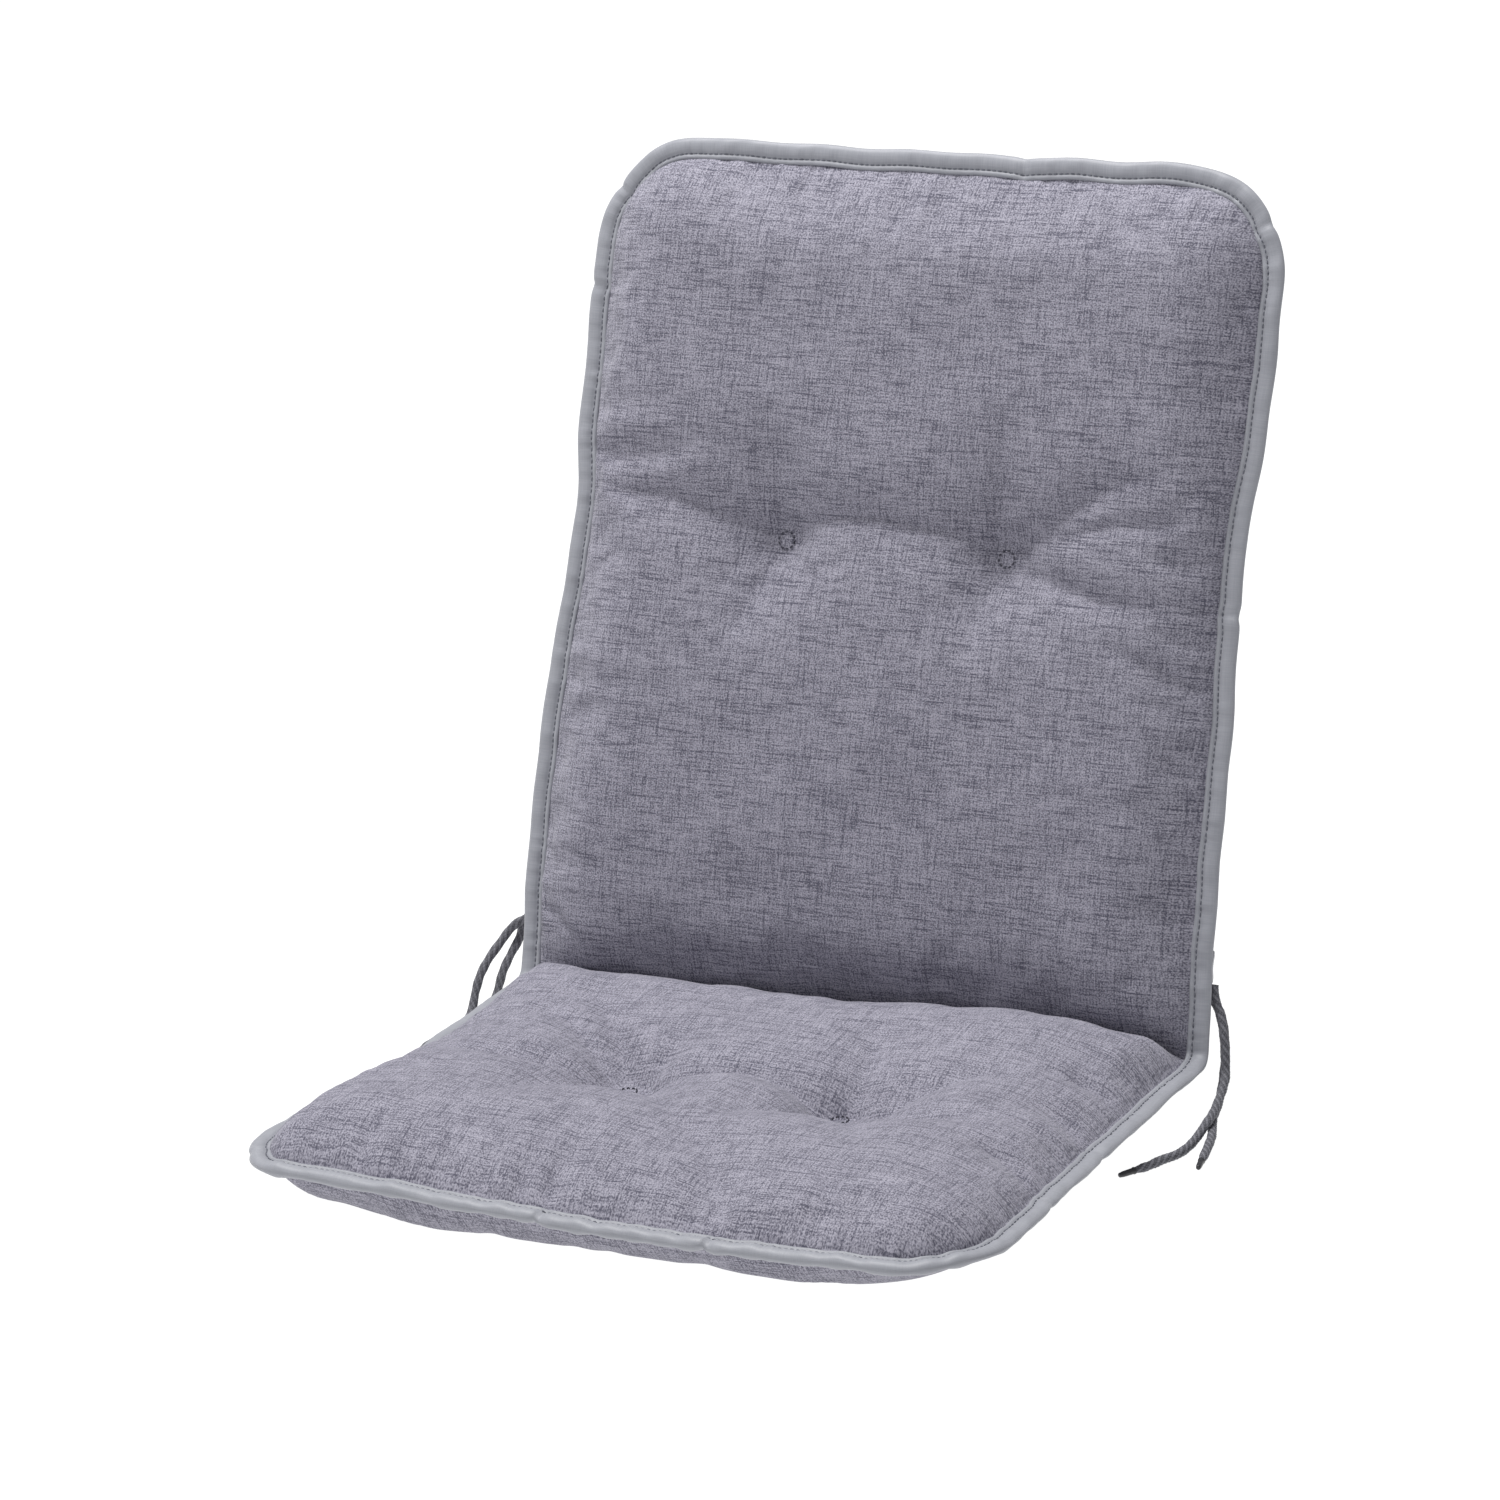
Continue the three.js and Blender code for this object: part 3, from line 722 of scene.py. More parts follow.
def rear_height(panel, x, t, side_gap):
    """How far a rear face stands out; the seat's lies flat, but for its right front corner."""
    side_run, far_run = (56.0, 27.0) if panel.name == "seat" else (52.0, 52.0)
    far_share = smooth(0.35, 0.8, t / panel.length) * smooth(0.25, 0.6, 1 - np.abs(x) / 300)
    run = side_run + (far_run - side_run) * far_share
    lifted = 0.0
    if panel.name == "seat":
        lifted = 0.42 * np.exp(-(((x - 240) / 60) ** 2) - ((t - 385) / 70) ** 2)
    full = PAD_HALF + panel.curl(x, t)
    return full * rise(side_gap, run) * rise(np.maximum(t - 3, 0), 52.0) * (1 - lifted)


TUFT_FRONT, TUFT_REAR = 6.4, 7.6  # how far a tuft holds each face from the seam plane


class Pad:
    """Both faces of a pad as grids that share their seam."""

    def __init__(self, panel, across, along, folds, reach):
        self.panel, self.folds, self.reach = panel, folds, reach
        self.x, self.t = panel_grid(panel, across, along)
        seam, _, _ = panel.outline(SEAM_INSET)
        self.seam = seam[::4]
        gap, share, run = distance_to(self.seam, self.x, self.t)
        self.side_gap, self.side_run = gap, share * run
        x, t = self.x, self.t
        pull = tuft_pull(x, t, panel.tuft, reach)
        dip = fold_depth(folds, x, t)
        front = front_height(panel, x, t, gap)
        soften = rise(gap, 40.0) * rise(t, 40.0)
        front = front + 0.7 * lumps(x, t, 80, 170, 5) * soften
        if panel.name == "seat":
            for side in (-1, 1):  # a bulge in front of each tuft
                dx, dt = x - side * panel.tuft[0], t - panel.tuft[1]
                ring = np.exp(-(((np.hypot(dx, dt) - 38) / 17) ** 2))
                front = front + 5.5 * ring * smooth(-5, 20, dt)
        front = front - dip * soften * smooth(0, 40, tuft_radius(x, t, panel.tuft) + 25)
        front = TUFT_FRONT + (front - TUFT_FRONT) * (1 - pull)
        edge = np.minimum(gap, t)
        front = np.where(edge < 1e-6, 0.0, front)
        rear = rear_height(panel, x, t, gap)
        rear = rear - self.rear_share(t) * dip * soften
        rear = TUFT_REAR + (rear - TUFT_REAR) * (1 - pull)
        least = 0.8 * rise(edge, 2.0)
        self.front, self.rear = np.maximum(front, least), np.maximum(rear, least)

    def rear_share(self, t):
        """How much of the front's folds the rear face has: none towards the seat's front edge."""
        return REAR_SHARE * (1 - smooth(230, 310, t) if self.panel.name == "seat" else 1.0)

    def start_points(self):
        front_t = self.mitred(self.x, self.t, self.front)
        top = self.panel.world(self.x, front_t, self.front)
        bottom = self.panel.world(self.x, self.t, -self.rear)
        return top, bottom

    def mitred(self, x, t, n):
        """Moves a front face out of the room of the pad it folds against."""
        angle = fold_share(x)
        if self.panel.name == "back":
            angle = FOLD_ANGLE - angle
        least = np.maximum(n, 0) / np.tan(np.radians(angle)) + LEAST_HEIGHT
        return np.maximum(t, least)


PADS = [
    Pad(SEAT, across=100, along=84, folds=SEAT_FOLDS, reach=27.0),
    Pad(BACK, across=100, along=120, folds=BACK_FOLDS, reach=15.0),
]


def closed_pad(pad):
    """One closed mesh of both faces for the simulation, and where each face's points are in it."""
    top, bottom = pad.start_points()
    rows, columns = pad.x.shape
    count = rows * columns
    index = np.arange(count).reshape(rows, columns)
    inner = np.zeros((rows, columns), bool)
    inner[1:-1, 1:-1] = True
    below = index.copy()
    below[inner] = count + np.arange(inner.sum())
    points = np.vstack([top.reshape(-1, 3), bottom[inner]])
    is_seat = pad.panel.name == "seat"
    faces = grid_faces(rows, columns, turn=is_seat)
    under = below.reshape(-1)[grid_faces(rows, columns, turn=not is_seat)]
    pinned = np.zeros(len(points), bool)
    pinned[index[~inner]] = True
    near = tuft_radius(pad.x, pad.t, pad.panel.tuft) < 6.5
    pinned[index[near]] = True
    pinned[below[near]] = True
    return points, np.vstack([faces, under]), pinned, index, below


SIM_FRAMES = 20
MOST_MOVE = 6.0
CLOTH = {
    "quality": 6,
    "mass": 0.15,
    "tension_stiffness": 25,
    "compression_stiffness": 25,
    "shear_stiffness": 8,
    "bending_stiffness": 0.15,
    "tension_damping": 10,
    "compression_damping": 10,
    "air_damping": 4,
    "use_pressure": True,
    "uniform_pressure_force": 2.2,
    "shrink_min": -0.015,
    "vertex_group_mass": "held",
}
# The simulation softens the folds, which are drawn in again by this much.
FOLDS_AGAIN = {"seat": 1.7, "back": 0.5}
CALMING_PASSES = {"seat": 4, "back": 1}


def add_cloth(name, points, faces, pinned):
    sim = make_mesh(name, points, faces, FABRIC)
    group = sim.vertex_groups.new(name="held")
    group.add(np.flatnonzero(pinned).tolist(), 1.0, "REPLACE")
    cloth = sim.modifiers.new("cloth", "CLOTH")
    for key, value in CLOTH.items():
        setattr(cloth.settings, key, value)
    cloth.settings.effector_weights.gravity = 0
    cloth.collision_settings.use_collision = False
    cloth.collision_settings.use_self_collision = False
    cloth.point_cache.frame_start = 1
    cloth.point_cache.frame_end = SIM_FRAMES
    return sim


def calmed(grid, passes):
    """Evens out the finest wrinkles, and leaves the edge where it is."""
    grid = grid.copy()
    for _ in range(passes):
        around = grid[:-2, 1:-1] + grid[2:, 1:-1] + grid[1:-1, :-2] + grid[1:-1, 2:]
        grid[1:-1, 1:-1] = 0.5 * grid[1:-1, 1:-1] + 0.125 * around
    return grid


def simulate():
    """Blows both pads up against their seams and tufts, and leaves each face's new points in its pad."""
    made = []
    for pad in PADS:
        points, faces, pinned, index, below = closed_pad(pad)
        pad.moved = [points[index], points[below]]
        sim = add_cloth(pad.panel.name + "_sim", points, faces, pinned)
        made.append((pad, sim, points, index, below))
    if not made:
        return
    for number in range(1, SIM_FRAMES + 1):
        bpy.context.scene.frame_set(number)
    graph = bpy.context.evaluated_depsgraph_get()
    for pad, sim, points, index, below in made:
        shape = sim.evaluated_get(graph).data
        after = np.empty(len(shape.vertices) * 3, dtype=np.float32)
        shape.vertices.foreach_get("co", after)
        move = after.reshape(-1, 3).astype(float) * 1000 - points
        size = np.linalg.norm(move, axis=1, keepdims=True)
        move *= np.minimum(1, MOST_MOVE * np.tanh(size / MOST_MOVE) / np.maximum(size, 1e-9))
        passes = CALMING_PASSES[pad.panel.name]
        pad.moved = [points[at] + calmed(move[at], passes) for at in (index, below)]
    for _, sim, *_ in made:
        mesh = sim.data
        bpy.data.objects.remove(sim)
        bpy.data.meshes.remove(mesh)
    bpy.context.scene.frame_set(1)


simulate()


def finer(values):
    """Twice as many points along the first axis, on a cubic through the old ones."""
    ends = np.concatenate([2 * values[:1] - values[1:2], values, 2 * values[-1:] - values[-2:-1]])
    middle = (-ends[:-3] + 9 * ends[1:-2] + 9 * ends[2:-1] - ends[3:]) / 16
    made = np.empty((len(values) * 2 - 1, *values.shape[1:]))
    made[::2] = values
    made[1::2] = middle
    return made


def finer_grid(values):
    return np.swapaxes(finer(np.swapaxes(finer(values), 0, 1)), 0, 1)


def to_panel(panel, points):
    """The panel's own x, t and n of points, as Panel.world takes them."""
    away = points - CREASE
    t = away @ panel.along
    x = away[..., 0] - panel.leaned(0, t)
    return x, t, away @ panel.out - panel.curl(x, t)


def detail(panel, flat_x, flat_t, gap, run):
    """Small puckers along the seam and pleats round the tufts, as a height."""
    seed = 11 if panel.name == "seat" else 31
    small = wander(run, 9, 17, seed) * np.exp(-gap / 15.0) * smooth(0, 3, gap)
    long = wander(run, 22, 48, seed + 1) * np.exp(-gap / 38.0) * smooth(0, 8, gap)
    uneven = 0.8 + 0.6 * wander(run, 60, 160, seed + 5)
    out = (0.45 * small + 0.9 * long) * np.clip(uneven, 0.15, 1.6)
    if panel.name == "back":
        pulled = smooth(150, 210, flat_t) * (1 - smooth(330, 390, flat_t)) * smooth(120, 200, flat_x)
        out = out * (0.8 + 1.0 * pulled)
    for side in (-1, 1):
        dx, dt = flat_x - side * panel.tuft[0], flat_t - panel.tuft[1]
        r = np.hypot(dx, dt)
        angle = np.arctan2(dt, dx)
        pleat = np.sin(7 * angle + 2 * side + seed) + 0.6 * np.sin(11 * angle + seed)
        out = out + 0.85 * pleat * np.exp(-r / 20.0) * smooth(5.5, 12, r)
    crease_ripple = wander(flat_x, 14, 34, seed + 3) * np.exp(-flat_t / 22.0) * smooth(0, 6, flat_t)
    return out + 0.1 * crease_ripple


def face_mesh(pad, face):
    """The finished points of a pad's face with its flange under the binding, faces and flat places."""
    panel = pad.panel
    front = face == 0
    sign = 1 if front else -1
    x, t, n = to_panel(panel, finer_grid(pad.moved[face]))
    flat_x, flat_t = finer_grid(pad.x), finer_grid(pad.t)
    gap, run = finer_grid(pad.side_gap), finer_grid(pad.side_run)
    gap = np.maximum(gap, 0)
    again = FOLDS_AGAIN[panel.name]
    soften = rise(gap, 40.0) * rise(np.maximum(flat_t, 0), 40.0)
    far = smooth(2, 14, tuft_radius(flat_x, flat_t, panel.tuft))
    share = again if front else again * pad.rear_share(flat_t)
    n = n - sign * share * fold_depth(pad.folds, flat_x, flat_t) * soften * far
    out = detail(panel, flat_x, flat_t, gap, run)
    n = n + (out if front else -0.1 * out)
    if panel.name == "back":  # the cloth is flat inside a tuft's ring
        disc = sign * (TUFT_FRONT if front else TUFT_REAR)
        n = disc + (n - disc) * smooth(6.6, 11.0, tuft_radius(flat_x, flat_t, panel.tuft))
    n = sign * np.maximum(sign * n, 0.7)
    if front:
        t = pad.mitred(x, t, n)
    else:
        t = np.maximum(t, LEAST_HEIGHT)
        if panel.name == "seat":
            n = np.maximum(n, -PAD_HALF + 0.25 - panel.curl(x, t))
    rows, columns = x.shape
    points = panel.world(x, t, n).reshape(-1, 3)
    turn = front == (panel.name == "seat")
    faces = grid_faces(rows, columns, turn=turn)
    flat = np.stack([flat_x, flat_t], axis=-1).reshape(-1, 2)

    # the flange goes out from the seam under the binding
    index = np.arange(rows * columns).reshape(rows, columns)
    edge = np.concatenate([index[:, -1], index[-1, -2::-1], index[-2::-1, 0]])
    rim = np.stack([flat_x.ravel()[edge], flat_t.ravel()[edge]], axis=1)
    tangent = unit(np.gradient(rim, axis=0))
    outward = np.stack([tangent[:, 1], -tangent[:, 0]], axis=1)
    strips = []
    for width in (4.0, 10.5):
        place = rim + outward * width
        place[:, 1] = np.maximum(place[:, 1], LEAST_HEIGHT)
        strips.append((panel.world(place[:, 0], place[:, 1], sign * 0.55), place))
    count = len(points)
    size = len(edge)
    one, two = count + np.arange(size), count + size + np.arange(size)
    ribbons = []
    for inner, outer in ((edge, one), (one, two)):
        quads = np.stack([inner[:-1], outer[:-1], outer[1:], inner[1:]], axis=1)
        ribbons.append(quads[:, ::-1] if turn else quads)
    points = np.vstack([points, strips[0][0], strips[1][0]])
    flat = np.vstack([flat, strips[0][1], strips[1][1]])
    return points, np.vstack([faces, *ribbons]), flat


FACE_NAMES = {
    ("seat", 0): ("seat_top_fabric", "seat_top_cover"),
    ("seat", 1): ("seat_bottom_fabric", "seat_bottom_cover"),
    ("back", 0): ("back_front_fabric", "back_front_cover"),
    ("back", 1): ("back_rear_fabric", "back_rear_cover"),
}


def add_cover(pad, face):
    name, node = FACE_NAMES[pad.panel.name, face]
    points, faces, flat = face_mesh(pad, face)
    flat = flat + (0, 0 if pad.panel.name == "seat" else 5000)
    cover = make_mesh(name, points, faces, FABRIC, flat)
    fit_in(cover, "cover_fabric", node)


for one_pad in PADS:
    for one_face in (0, 1):
        add_cover(one_pad, one_face)

# ---------------------------------------------------------------- wadding inside


def add_wadding(pad):
    """The filling: the cover's own shape a few millimetres further in, rough as felted fibre."""
    name = pad.panel.name
    keep = smooth(0, 14, np.minimum(pad.side_gap, pad.t))
    rough = 0.25 * lumps(pad.x, pad.t, 9, 22, 51)
    dip = fold_depth(pad.folds, pad.x, pad.t)
    pull = tuft_pull(pad.x, pad.t, pad.panel.tuft, pad.reach)
    room = 4.0 + (0.7 + FOLDS_AGAIN[name]) * dip + 10.0 * pull
    points = []
    for sign, face in ((1, pad.moved[0]), (-1, pad.moved[1])):
        x, t, n = to_panel(pad.panel, face)
        if name == "seat":
            n = np.maximum(n, -PAD_HALF)
        n = sign * np.maximum(sign * n * keep - room + rough, 0.15)
        t = np.clip(t, 4.5 + np.maximum(n, 0) * 0.95, None)
        points.append(pad.panel.world(x * 0.985, t, n)[::2, ::2])
    faces = shell_faces(*points[0].shape[:2], name == "seat")
    points = np.vstack([p.reshape(-1, 3) for p in points])
    filling = make_mesh(name + "_wadding", points, faces, WADDING)
    fit_in(filling, "filling", name + "_filling")


for one_pad in PADS:
    add_wadding(one_pad)

# ---------------------------------------------------------------- binding

# The folded tape's section: outward from the seam edge, and out of its plane.
TAPE_SECTION = [
    (-14.5, 1.0),
    (-14.75, 1.6),
    (-14.2, 2.3),
    (-13.1, 2.55),
    (-12.0, 2.3),
    (-11.3, 1.55),
    (-10.5, 1.6),
    (-9.6, 2.35),
    (-7.8, 2.95),
    (-5.4, 3.15),
    (-3.0, 2.85),
    (-1.3, 2.05),
    (-0.3, 1.0),
    (0.0, 0.0),
]
INSIDE_HALF = 0.85  # the tape's inner face stands this far from the seam plane
PATH_STEP = 2.2
CREASE_REACH = 9.0


def edge_path():
    """The seam edge as one loop: its points in millimetres and their outward directions."""
    edges = []
    for panel in (SEAT, BACK):
        line, _, inward = panel.outline(0.0)
        keep = line[:, 1] > CREASE_REACH
        line, inward = line[keep], inward[keep]
        if panel is BACK:
            line, inward = line[::-1], inward[::-1]
        count = int(arc_lengths(line)[-1] / PATH_STEP)
        inward = unit(resample(line, count, inward))
        line = resample(line, count)
        out = -(inward[:, :1] * np.array([1.0, 0, 0]) + inward[:, 1:] * panel.along)
        edges.append((panel.world(line[:, 0], line[:, 1], 0.0), out))
    # seat: right crease, far edge, left crease; back: left crease, far edge, right crease
    path, outs = [], []
    for side, (here, out), (there, _) in ((-1, *edges), (1, *edges[::-1])):
        turn = turn_at_crease(side, here[-1], there[0])
        path += [here, turn]
        outs += [out, np.tile([float(side), 0, 0], (len(turn), 1))]
    return np.vstack(path), np.vstack(outs)


def turn_at_crease(side, start, end):
    """The points between two panels' edges, rounding the fold."""
    corner = CREASE + np.array([side * CREASE_HALF_WIDTH, 0, 0])
    t = np.linspace(0, 1, 10)[1:-1, None]
    return start * (1 - t) ** 2 + 2 * corner * t * (1 - t) + end * t**2


path_points, path_out = edge_path()
path_tangent = unit(np.roll(path_points, -1, axis=0) - np.roll(path_points, 1, axis=0))
path_out = unit(path_out - path_tangent * (path_out * path_tangent).sum(axis=1, keepdims=True))
path_normal = np.cross(path_tangent, path_out)
path_run = arc_lengths(path_points)
path_length = path_run[-1] + np.linalg.norm(path_points[0] - path_points[-1])


def closed_wander(s, length, low, high, seed, count=10):
    """A smooth random line that meets itself at the end of a closed run."""
    draw = np.random.default_rng(seed)
    turns = draw.integers(int(length / high), int(length / low), count)
    phases = draw.uniform(0, 2 * np.pi, count)
    total = sum(np.sin(2 * np.pi * k * s / length + p) for k, p in zip(turns, phases))
    return total / math.sqrt(count / 2) / 1.4


edge_lift = 0.55 * closed_wander(path_run, path_length, 60, 190, 61)
edge_push = 0.6 * closed_wander(path_run, path_length, 50, 160, 62)
puff = 1 + 0.12 * closed_wander(path_run, path_length, 18, 60, 63)
puff *= 1 + 0.32 * smooth(120, 190, -path_points[:, 1])  # fuller along the seat's front edge
pucker = closed_wander(path_run, path_length, 7, 14, 64)


# Where the tape is joined or takes a small kink: a panel, a place on its edge, how deep.
TAPE_KINKS = [
    (SEAT, -35, 400, 1.8),
    (SEAT, 79, 399, 2.4),
    (SEAT, 251, 262, 1.6),
    (SEAT, 251, 176, 1.2),
    (SEAT, -240, 372, 1.2),
    (BACK, 246, 292, 1.4),
    (BACK, -236, 548, 1.5),
    (BACK, -249, 478, 1.2),
    (BACK, 60, 581, 0.9),
    (BACK, 236, 548, 1.3),
]
for kink_panel, kink_x, kink_t, kink_depth in TAPE_KINKS:
    kink_place = kink_panel.world(kink_x, kink_t, 0.0)
    kink_at = path_run[np.argmin(np.linalg.norm(path_points - kink_place, axis=1))]
    kink_away = np.abs(path_run - kink_at)
    edge_push -= kink_depth * np.exp(-((kink_away / 5.0) ** 2))
    puff -= 0.16 * kink_depth * np.exp(-((kink_away / 2.6) ** 2))
    edge_lift += 0.5 * kink_depth * np.exp(-((kink_away / 9.0) ** 2)) * np.sign(path_run - kink_at - 1)


def tape_point(index, outward, height):
    """A point on the binding: index along the path, outward and height in millimetres."""
    middle = path_points[index] + path_out[index] * edge_push[index, None]
    share = np.clip((outward + 16) / 16, 0, 1)[..., None]
    middle = middle + path_normal[index] * edge_lift[index, None] * share
    return middle + path_out[index] * outward[..., None] + path_normal[index] * height[..., None]


def tape_height(outward, height, index):
    """Puckers at the stitch line and a little unevenness in how full the tape is."""
    near = np.exp(-(((outward + STITCH_INSET) / 2.2) ** 2))
    far = np.exp(-(((outward + 6) / 4.0) ** 2))
    return height * puff[index] + np.sign(height) * pucker[index] * (0.28 * near + 0.16 * far)


def add_binding():
    """The tape folded over the seam edge: the section carried once round the loop."""
    upper = np.array(TAPE_SECTION)
    lower = (upper * (1, -1))[-2::-1]
    wide, deep, half = BINDING_WIDTH, 7.0, INSIDE_HALF
    inner = np.array([(-wide, -half), (-deep, -half), (-1.4, 0.0), (-deep, half), (-wide, half)])
    section = np.vstack([upper, lower, inner])
    count, sides = len(path_points), len(section)
    index = np.repeat(np.arange(count), sides)
    outward = np.tile(section[:, 0], count)
    height = np.tile(section[:, 1], count)
    outside = np.tile(np.arange(sides) < len(upper) + len(lower), count)
    height = np.where(outside, tape_height(outward, height, index), height)
    points = tape_point(index, outward, height)
    faces = tube_faces(count, sides, True)
    across = arc_lengths(section)
    flat = np.stack([path_run[index], np.tile(across, count)], axis=1)
    tape = make_mesh("edge_binding_tape", points, faces, TAPE, flat)
    fit_in(tape, "binding_tape", "seat_binding", "back_binding")


add_binding()

# ---------------------------------------------------------------- stitches


# A stitch's shape: places along it, and there its share of the radius and its height in radii.
ROD_AT = np.array([0.0, 0.12, 0.35, 0.65, 0.88, 1.0])
ROD_WIDE = np.array([0.45, 0.9, 1.0, 1.0, 0.9, 0.45])
ROD_HUMP = np.array([-0.9, 0.1, 0.75, 0.75, 0.1, -0.9])


def stitch_rod(start, end, radius, lift, sides=6):
    """A short thread between two points that dips into the cloth at both ends."""
    line = start + (end - start) * ROD_AT[:, None] + lift * (ROD_HUMP[:, None] * radius)
    radii = np.repeat((ROD_WIDE * radius)[:, None], sides, axis=1)
    return capped(tube(line, radii, sides), len(ROD_AT), sides)


def straight_rod(start, end, radius, rings, sides=8):
    line = np.linspace(start, end, rings)
    return capped(tube(line, np.full((rings, sides), radius), sides), rings, sides)


def add_stitches(name, rods, material, nodes):
    """One piece out of many short threads."""
    points, faces = [], []
    start = 0
    for rod_points, rod_faces in rods:
        points.append(rod_points)
        faces += [[i + start for i in face] for face in rod_faces]
        start += len(rod_points)
    made = make_mesh(name, np.vstack(points), faces, material)
    fit_in(made, "thread", *nodes)


STITCH_PITCH = 4.0
STITCH_LENGTH = 2.9
STITCH_RADIUS = 0.42


def binding_rods():
    """The stitch line along both sides of the tape."""
    rods = []
    count = int(path_length / STITCH_PITCH)
    total = len(path_points)
    run = np.append(path_run, path_length)
    for number in range(count):
        at = number * path_length / count
        ends = []
        for place in (at, at + STITCH_LENGTH):
            i = int(np.searchsorted(run, place % path_length, side="right") - 1)
            share = (place % path_length - run[i]) / (run[i + 1] - run[i])
            ends.append((i, (i + 1) % total, share))
        for sign in (1, -1):
            tips = []
            for i, j, share in ends:
                index = np.array([i, j])
                outward = np.full(2, -STITCH_INSET + 0.05)
                height = tape_height(outward, np.full(2, sign * 1.62), index)
                two = tape_point(index, outward, height)
                tips.append(two[0] * (1 - share) + two[1] * share)
            lift = sign * path_normal[ends[0][0]]
            rods.append(stitch_rod(tips[0], tips[1], STITCH_RADIUS, lift, 5))
    return rods


STITCHED = ["seat_binding_stitch", "back_binding_stitch"]
add_stitches("binding_stitches", binding_rods(), THREAD, STITCHED)

TUFT_RING = 5.6
TUFT_STITCHES = 10
TUFT_STITCH_RADIUS = 0.62


def pad_height(pad, face, x, t):
    """The finished face's height at one place on its panel, from the nearest grid point."""
    px, pt, pn = to_panel(pad.panel, pad.moved[face])
    near = np.argmin((px - x) ** 2 + (pt - t) ** 2)
    return pn.ravel()[near]


def add_tuft(pad, side):
    """A ring of stitches on each face, joined by the thread that runs through the pad."""
    panel = pad.panel
    x, t = side * panel.tuft[0], panel.tuft[1]
    rods, stem = [], []
    for face, sign in ((0, 1), (1, -1)):
        level = pad_height(pad, face, x, t)
        stem.append(panel.world(x, t, level - sign * 0.4))
        for number in range(TUFT_STITCHES):
            angle = (number + 0.3 * side) / TUFT_STITCHES * 2 * np.pi
            tips = []
            for turn in (-0.22, 0.22):
                a = angle + turn * 2 * np.pi / TUFT_STITCHES
                across, along = TUFT_RING * math.cos(a), TUFT_RING * 1.04 * math.sin(a)
                tips.append(panel.world(x + across, t + along, level + sign * 0.4))
            rods.append(stitch_rod(*tips, TUFT_STITCH_RADIUS, sign * panel.out))
    rods.append(straight_rod(stem[1], stem[0], 1.2, 6))
    node = panel.name + "_tuft_stitch_" + HANDS[side]
    # the rings use the dark tuft thread, painted shade of the needle holes
    add_stitches(node + "_ring", rods, TUFT_THREAD_PAINTED_SHADE, [node])


for one_pad in PADS:
    for one_side in (-1, 1):
        add_tuft(one_pad, one_side)


def add_fold_seam():
    """The row of stitches along the fold, seen from behind between the two pads."""
    rods = []
    pitch, length = 4.4, 3.3
    half = CREASE_HALF_WIDTH - BINDING_WIDTH
    outward = unit(-(SEAT.out + BACK.out))
    for x in np.arange(-half, half - 3, pitch):
        ends = [CREASE + np.array([place, 0, 0]) + outward * 0.75 for place in (x, x + length)]
        rods.append(stitch_rod(*ends, 0.5, outward))
    rods.append(straight_rod(CREASE - [half, 0, 0], CREASE + [half, 0, 0], 0.55, 80))
    add_stitches("fold_seam_stitches", rods, THREAD, ["fold_seam_stitch"])


add_fold_seam()

# ---------------------------------------------------------------- tie tabs


def add_tab(side):
    """The folded piece of tape sewn behind the binding that holds a pair of cords."""
    width, length, height = 11.0, 22.0, 6.0
    middle_x, middle_t = side * (CREASE_HALF_WIDTH - width / 2 - 1.5), 62.0
    columns, rows = 14, 26
    u = np.linspace(-1, 1, columns)
    v = np.linspace(-1, 1, rows)
    vv, uu = np.meshgrid(v, u, indexing="ij")
    edge = (1 - np.abs(uu) ** 5) * (1 - np.abs(vv) ** 7)
    puffed = np.clip(edge, 0, 1) ** 0.45
    ridge = 0.35 * np.exp(-((np.abs(vv) - 0.78) / 0.06) ** 2)
    outer = -3.4 - height * puffed + ridge + 0.15 * np.sin(uu * 9 + vv * 4)
    inner = np.full_like(outer, -3.2)
    x = middle_x + uu * width / 2 * (1 - 0.06 * np.cos(vv * np.pi))
    t = middle_t + vv * length / 2
    points = np.vstack([BACK.world(x, t, n).reshape(-1, 3) for n in (outer, inner)])
    flat = np.tile(np.stack([vv.ravel() * length / 2, uu.ravel() * width / 2], axis=1), (2, 1))
    tab = make_mesh("tie_tab_" + HANDS[side], points, shell_faces(rows, columns, True), TAPE, flat)
    fit_in(tab, "binding_tape", "tie_anchor_" + HANDS[side])


for one_side in (-1, 1):
    add_tab(one_side)

# ---------------------------------------------------------------- light and floor


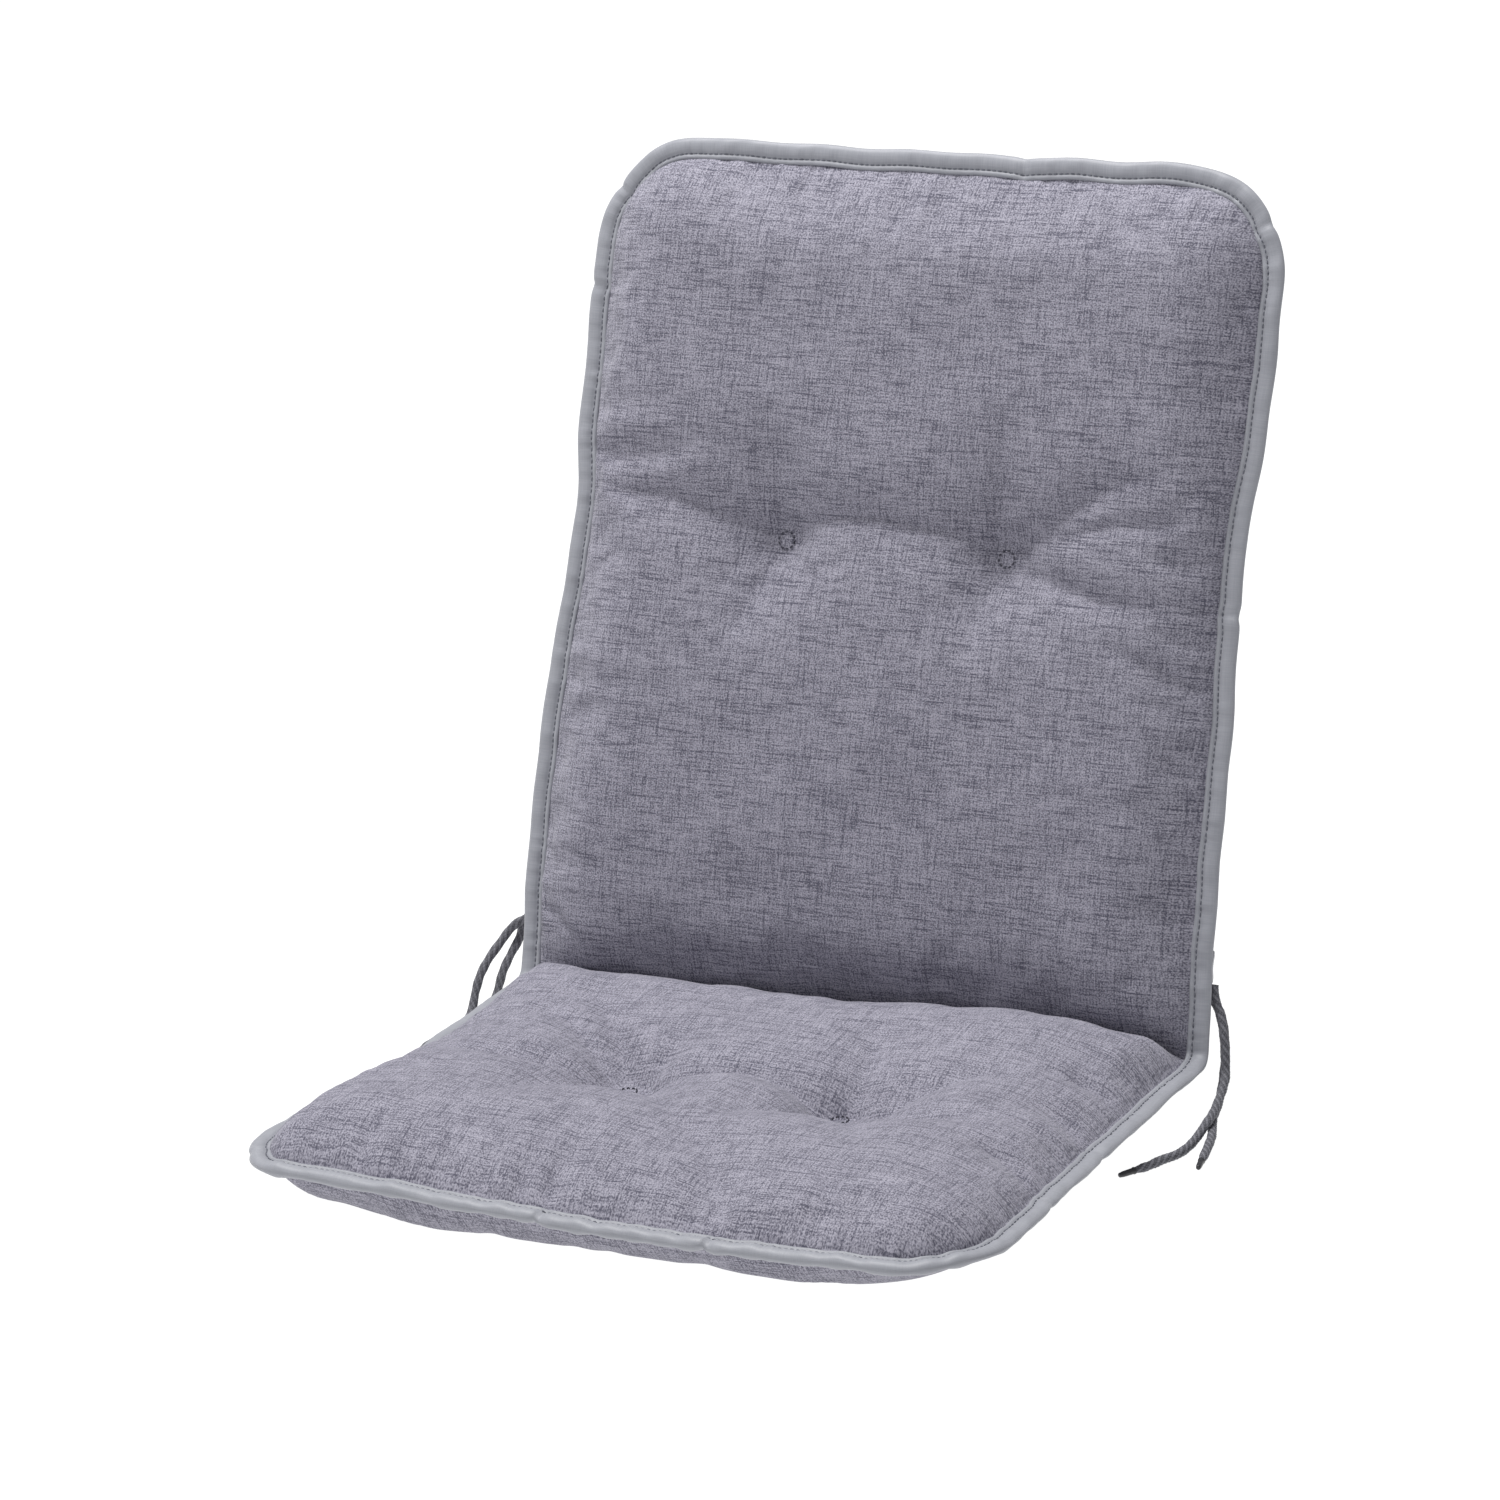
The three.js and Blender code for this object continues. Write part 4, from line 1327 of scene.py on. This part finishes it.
def add_softbox(name, place, aim, size, energy, colour):
    data = bpy.data.lights.new(name, "AREA")
    data.shape = "RECTANGLE"
    data.size, data.size_y = size
    data.energy = energy
    data.color = colour
    light = add_object(name, data)
    turn = (Vector(aim) - Vector(place)).to_track_quat("-Z", "Y")
    light.matrix_world = Matrix.Translation(place) @ turn.to_matrix().to_4x4()


add_softbox("overhead_softbox", (-0.8, 0.3, 4.0), (0, 0.1, 0.2), (2.1, 1.7), 206, (1.0, 0.995, 0.98))
add_softbox("front_left_softbox", (-2.0, -2.6, 0.8), (0, 0.2, 0.2), (1.3, 1.0), 16, (1.0, 0.99, 0.98))

world = bpy.data.worlds.new("studio")
world.use_nodes = True
bpy.context.scene.world = world
background = world.node_tree.nodes["Background"]
background.inputs[0].default_value = (0.96, 0.97, 1.0, 1)
background.inputs[1].default_value = 0.35

FLOOR_HALF, FLOOR_LEVEL = 14.0, -0.0006
# The floor glows evenly white, but hardly under the cushion, where a painted shadow lies: a box round (0,
# 0.01) with a soft rim.
PAINTED_SHADOW_HALF_WIDTH, PAINTED_SHADOW_HALF_DEPTH, PAINTED_SHADOW_RIM = 0.185, 0.145, 0.05
GLOW_IN_PAINTED_SHADOW, GLOW = 0.12, 0.99


def add_floor():
    material, tree, shader = new_material("studio_floor")
    place = put(tree, "ShaderNodeTexCoord").outputs["Object"]
    parts = put(tree, "ShaderNodeSeparateXYZ", Vector=place)
    across = math_node(tree, "ABSOLUTE", parts.outputs[0])
    along = math_node(tree, "ABSOLUTE", math_node(tree, "ADD", parts.outputs[1], -0.01))
    across = math_node(tree, "ADD", across, -PAINTED_SHADOW_HALF_WIDTH)
    along = math_node(tree, "ADD", along, -PAINTED_SHADOW_HALF_DEPTH)
    away = math_node(tree, "MAXIMUM", across, along)
    # painted shadow: the glow drops inside the box under the cushion
    glow_with_painted_shadow = spread(tree, away, -PAINTED_SHADOW_RIM, 0.0, GLOW_IN_PAINTED_SHADOW, GLOW)
    colours = {"Base Color": (0.12, 0.12, 0.12, 1), "Emission Color": (1, 1, 1, 1)}
    fill(tree, shader, {**colours, "Roughness": 0.9, "Emission Strength": glow_with_painted_shadow})
    mesh = bpy.data.meshes.new("studio_floor")
    corners = [(x * FLOOR_HALF, y * FLOOR_HALF, FLOOR_LEVEL) for x, y in ((-1, -1), (1, -1), (1, 1), (-1, 1))]
    mesh.from_pydata(corners, [], [(0, 1, 2, 3)])
    mesh.materials.append(material)
    add_object("studio_floor", mesh)


add_floor()
bpy.context.scene.view_settings.view_transform = "Standard"
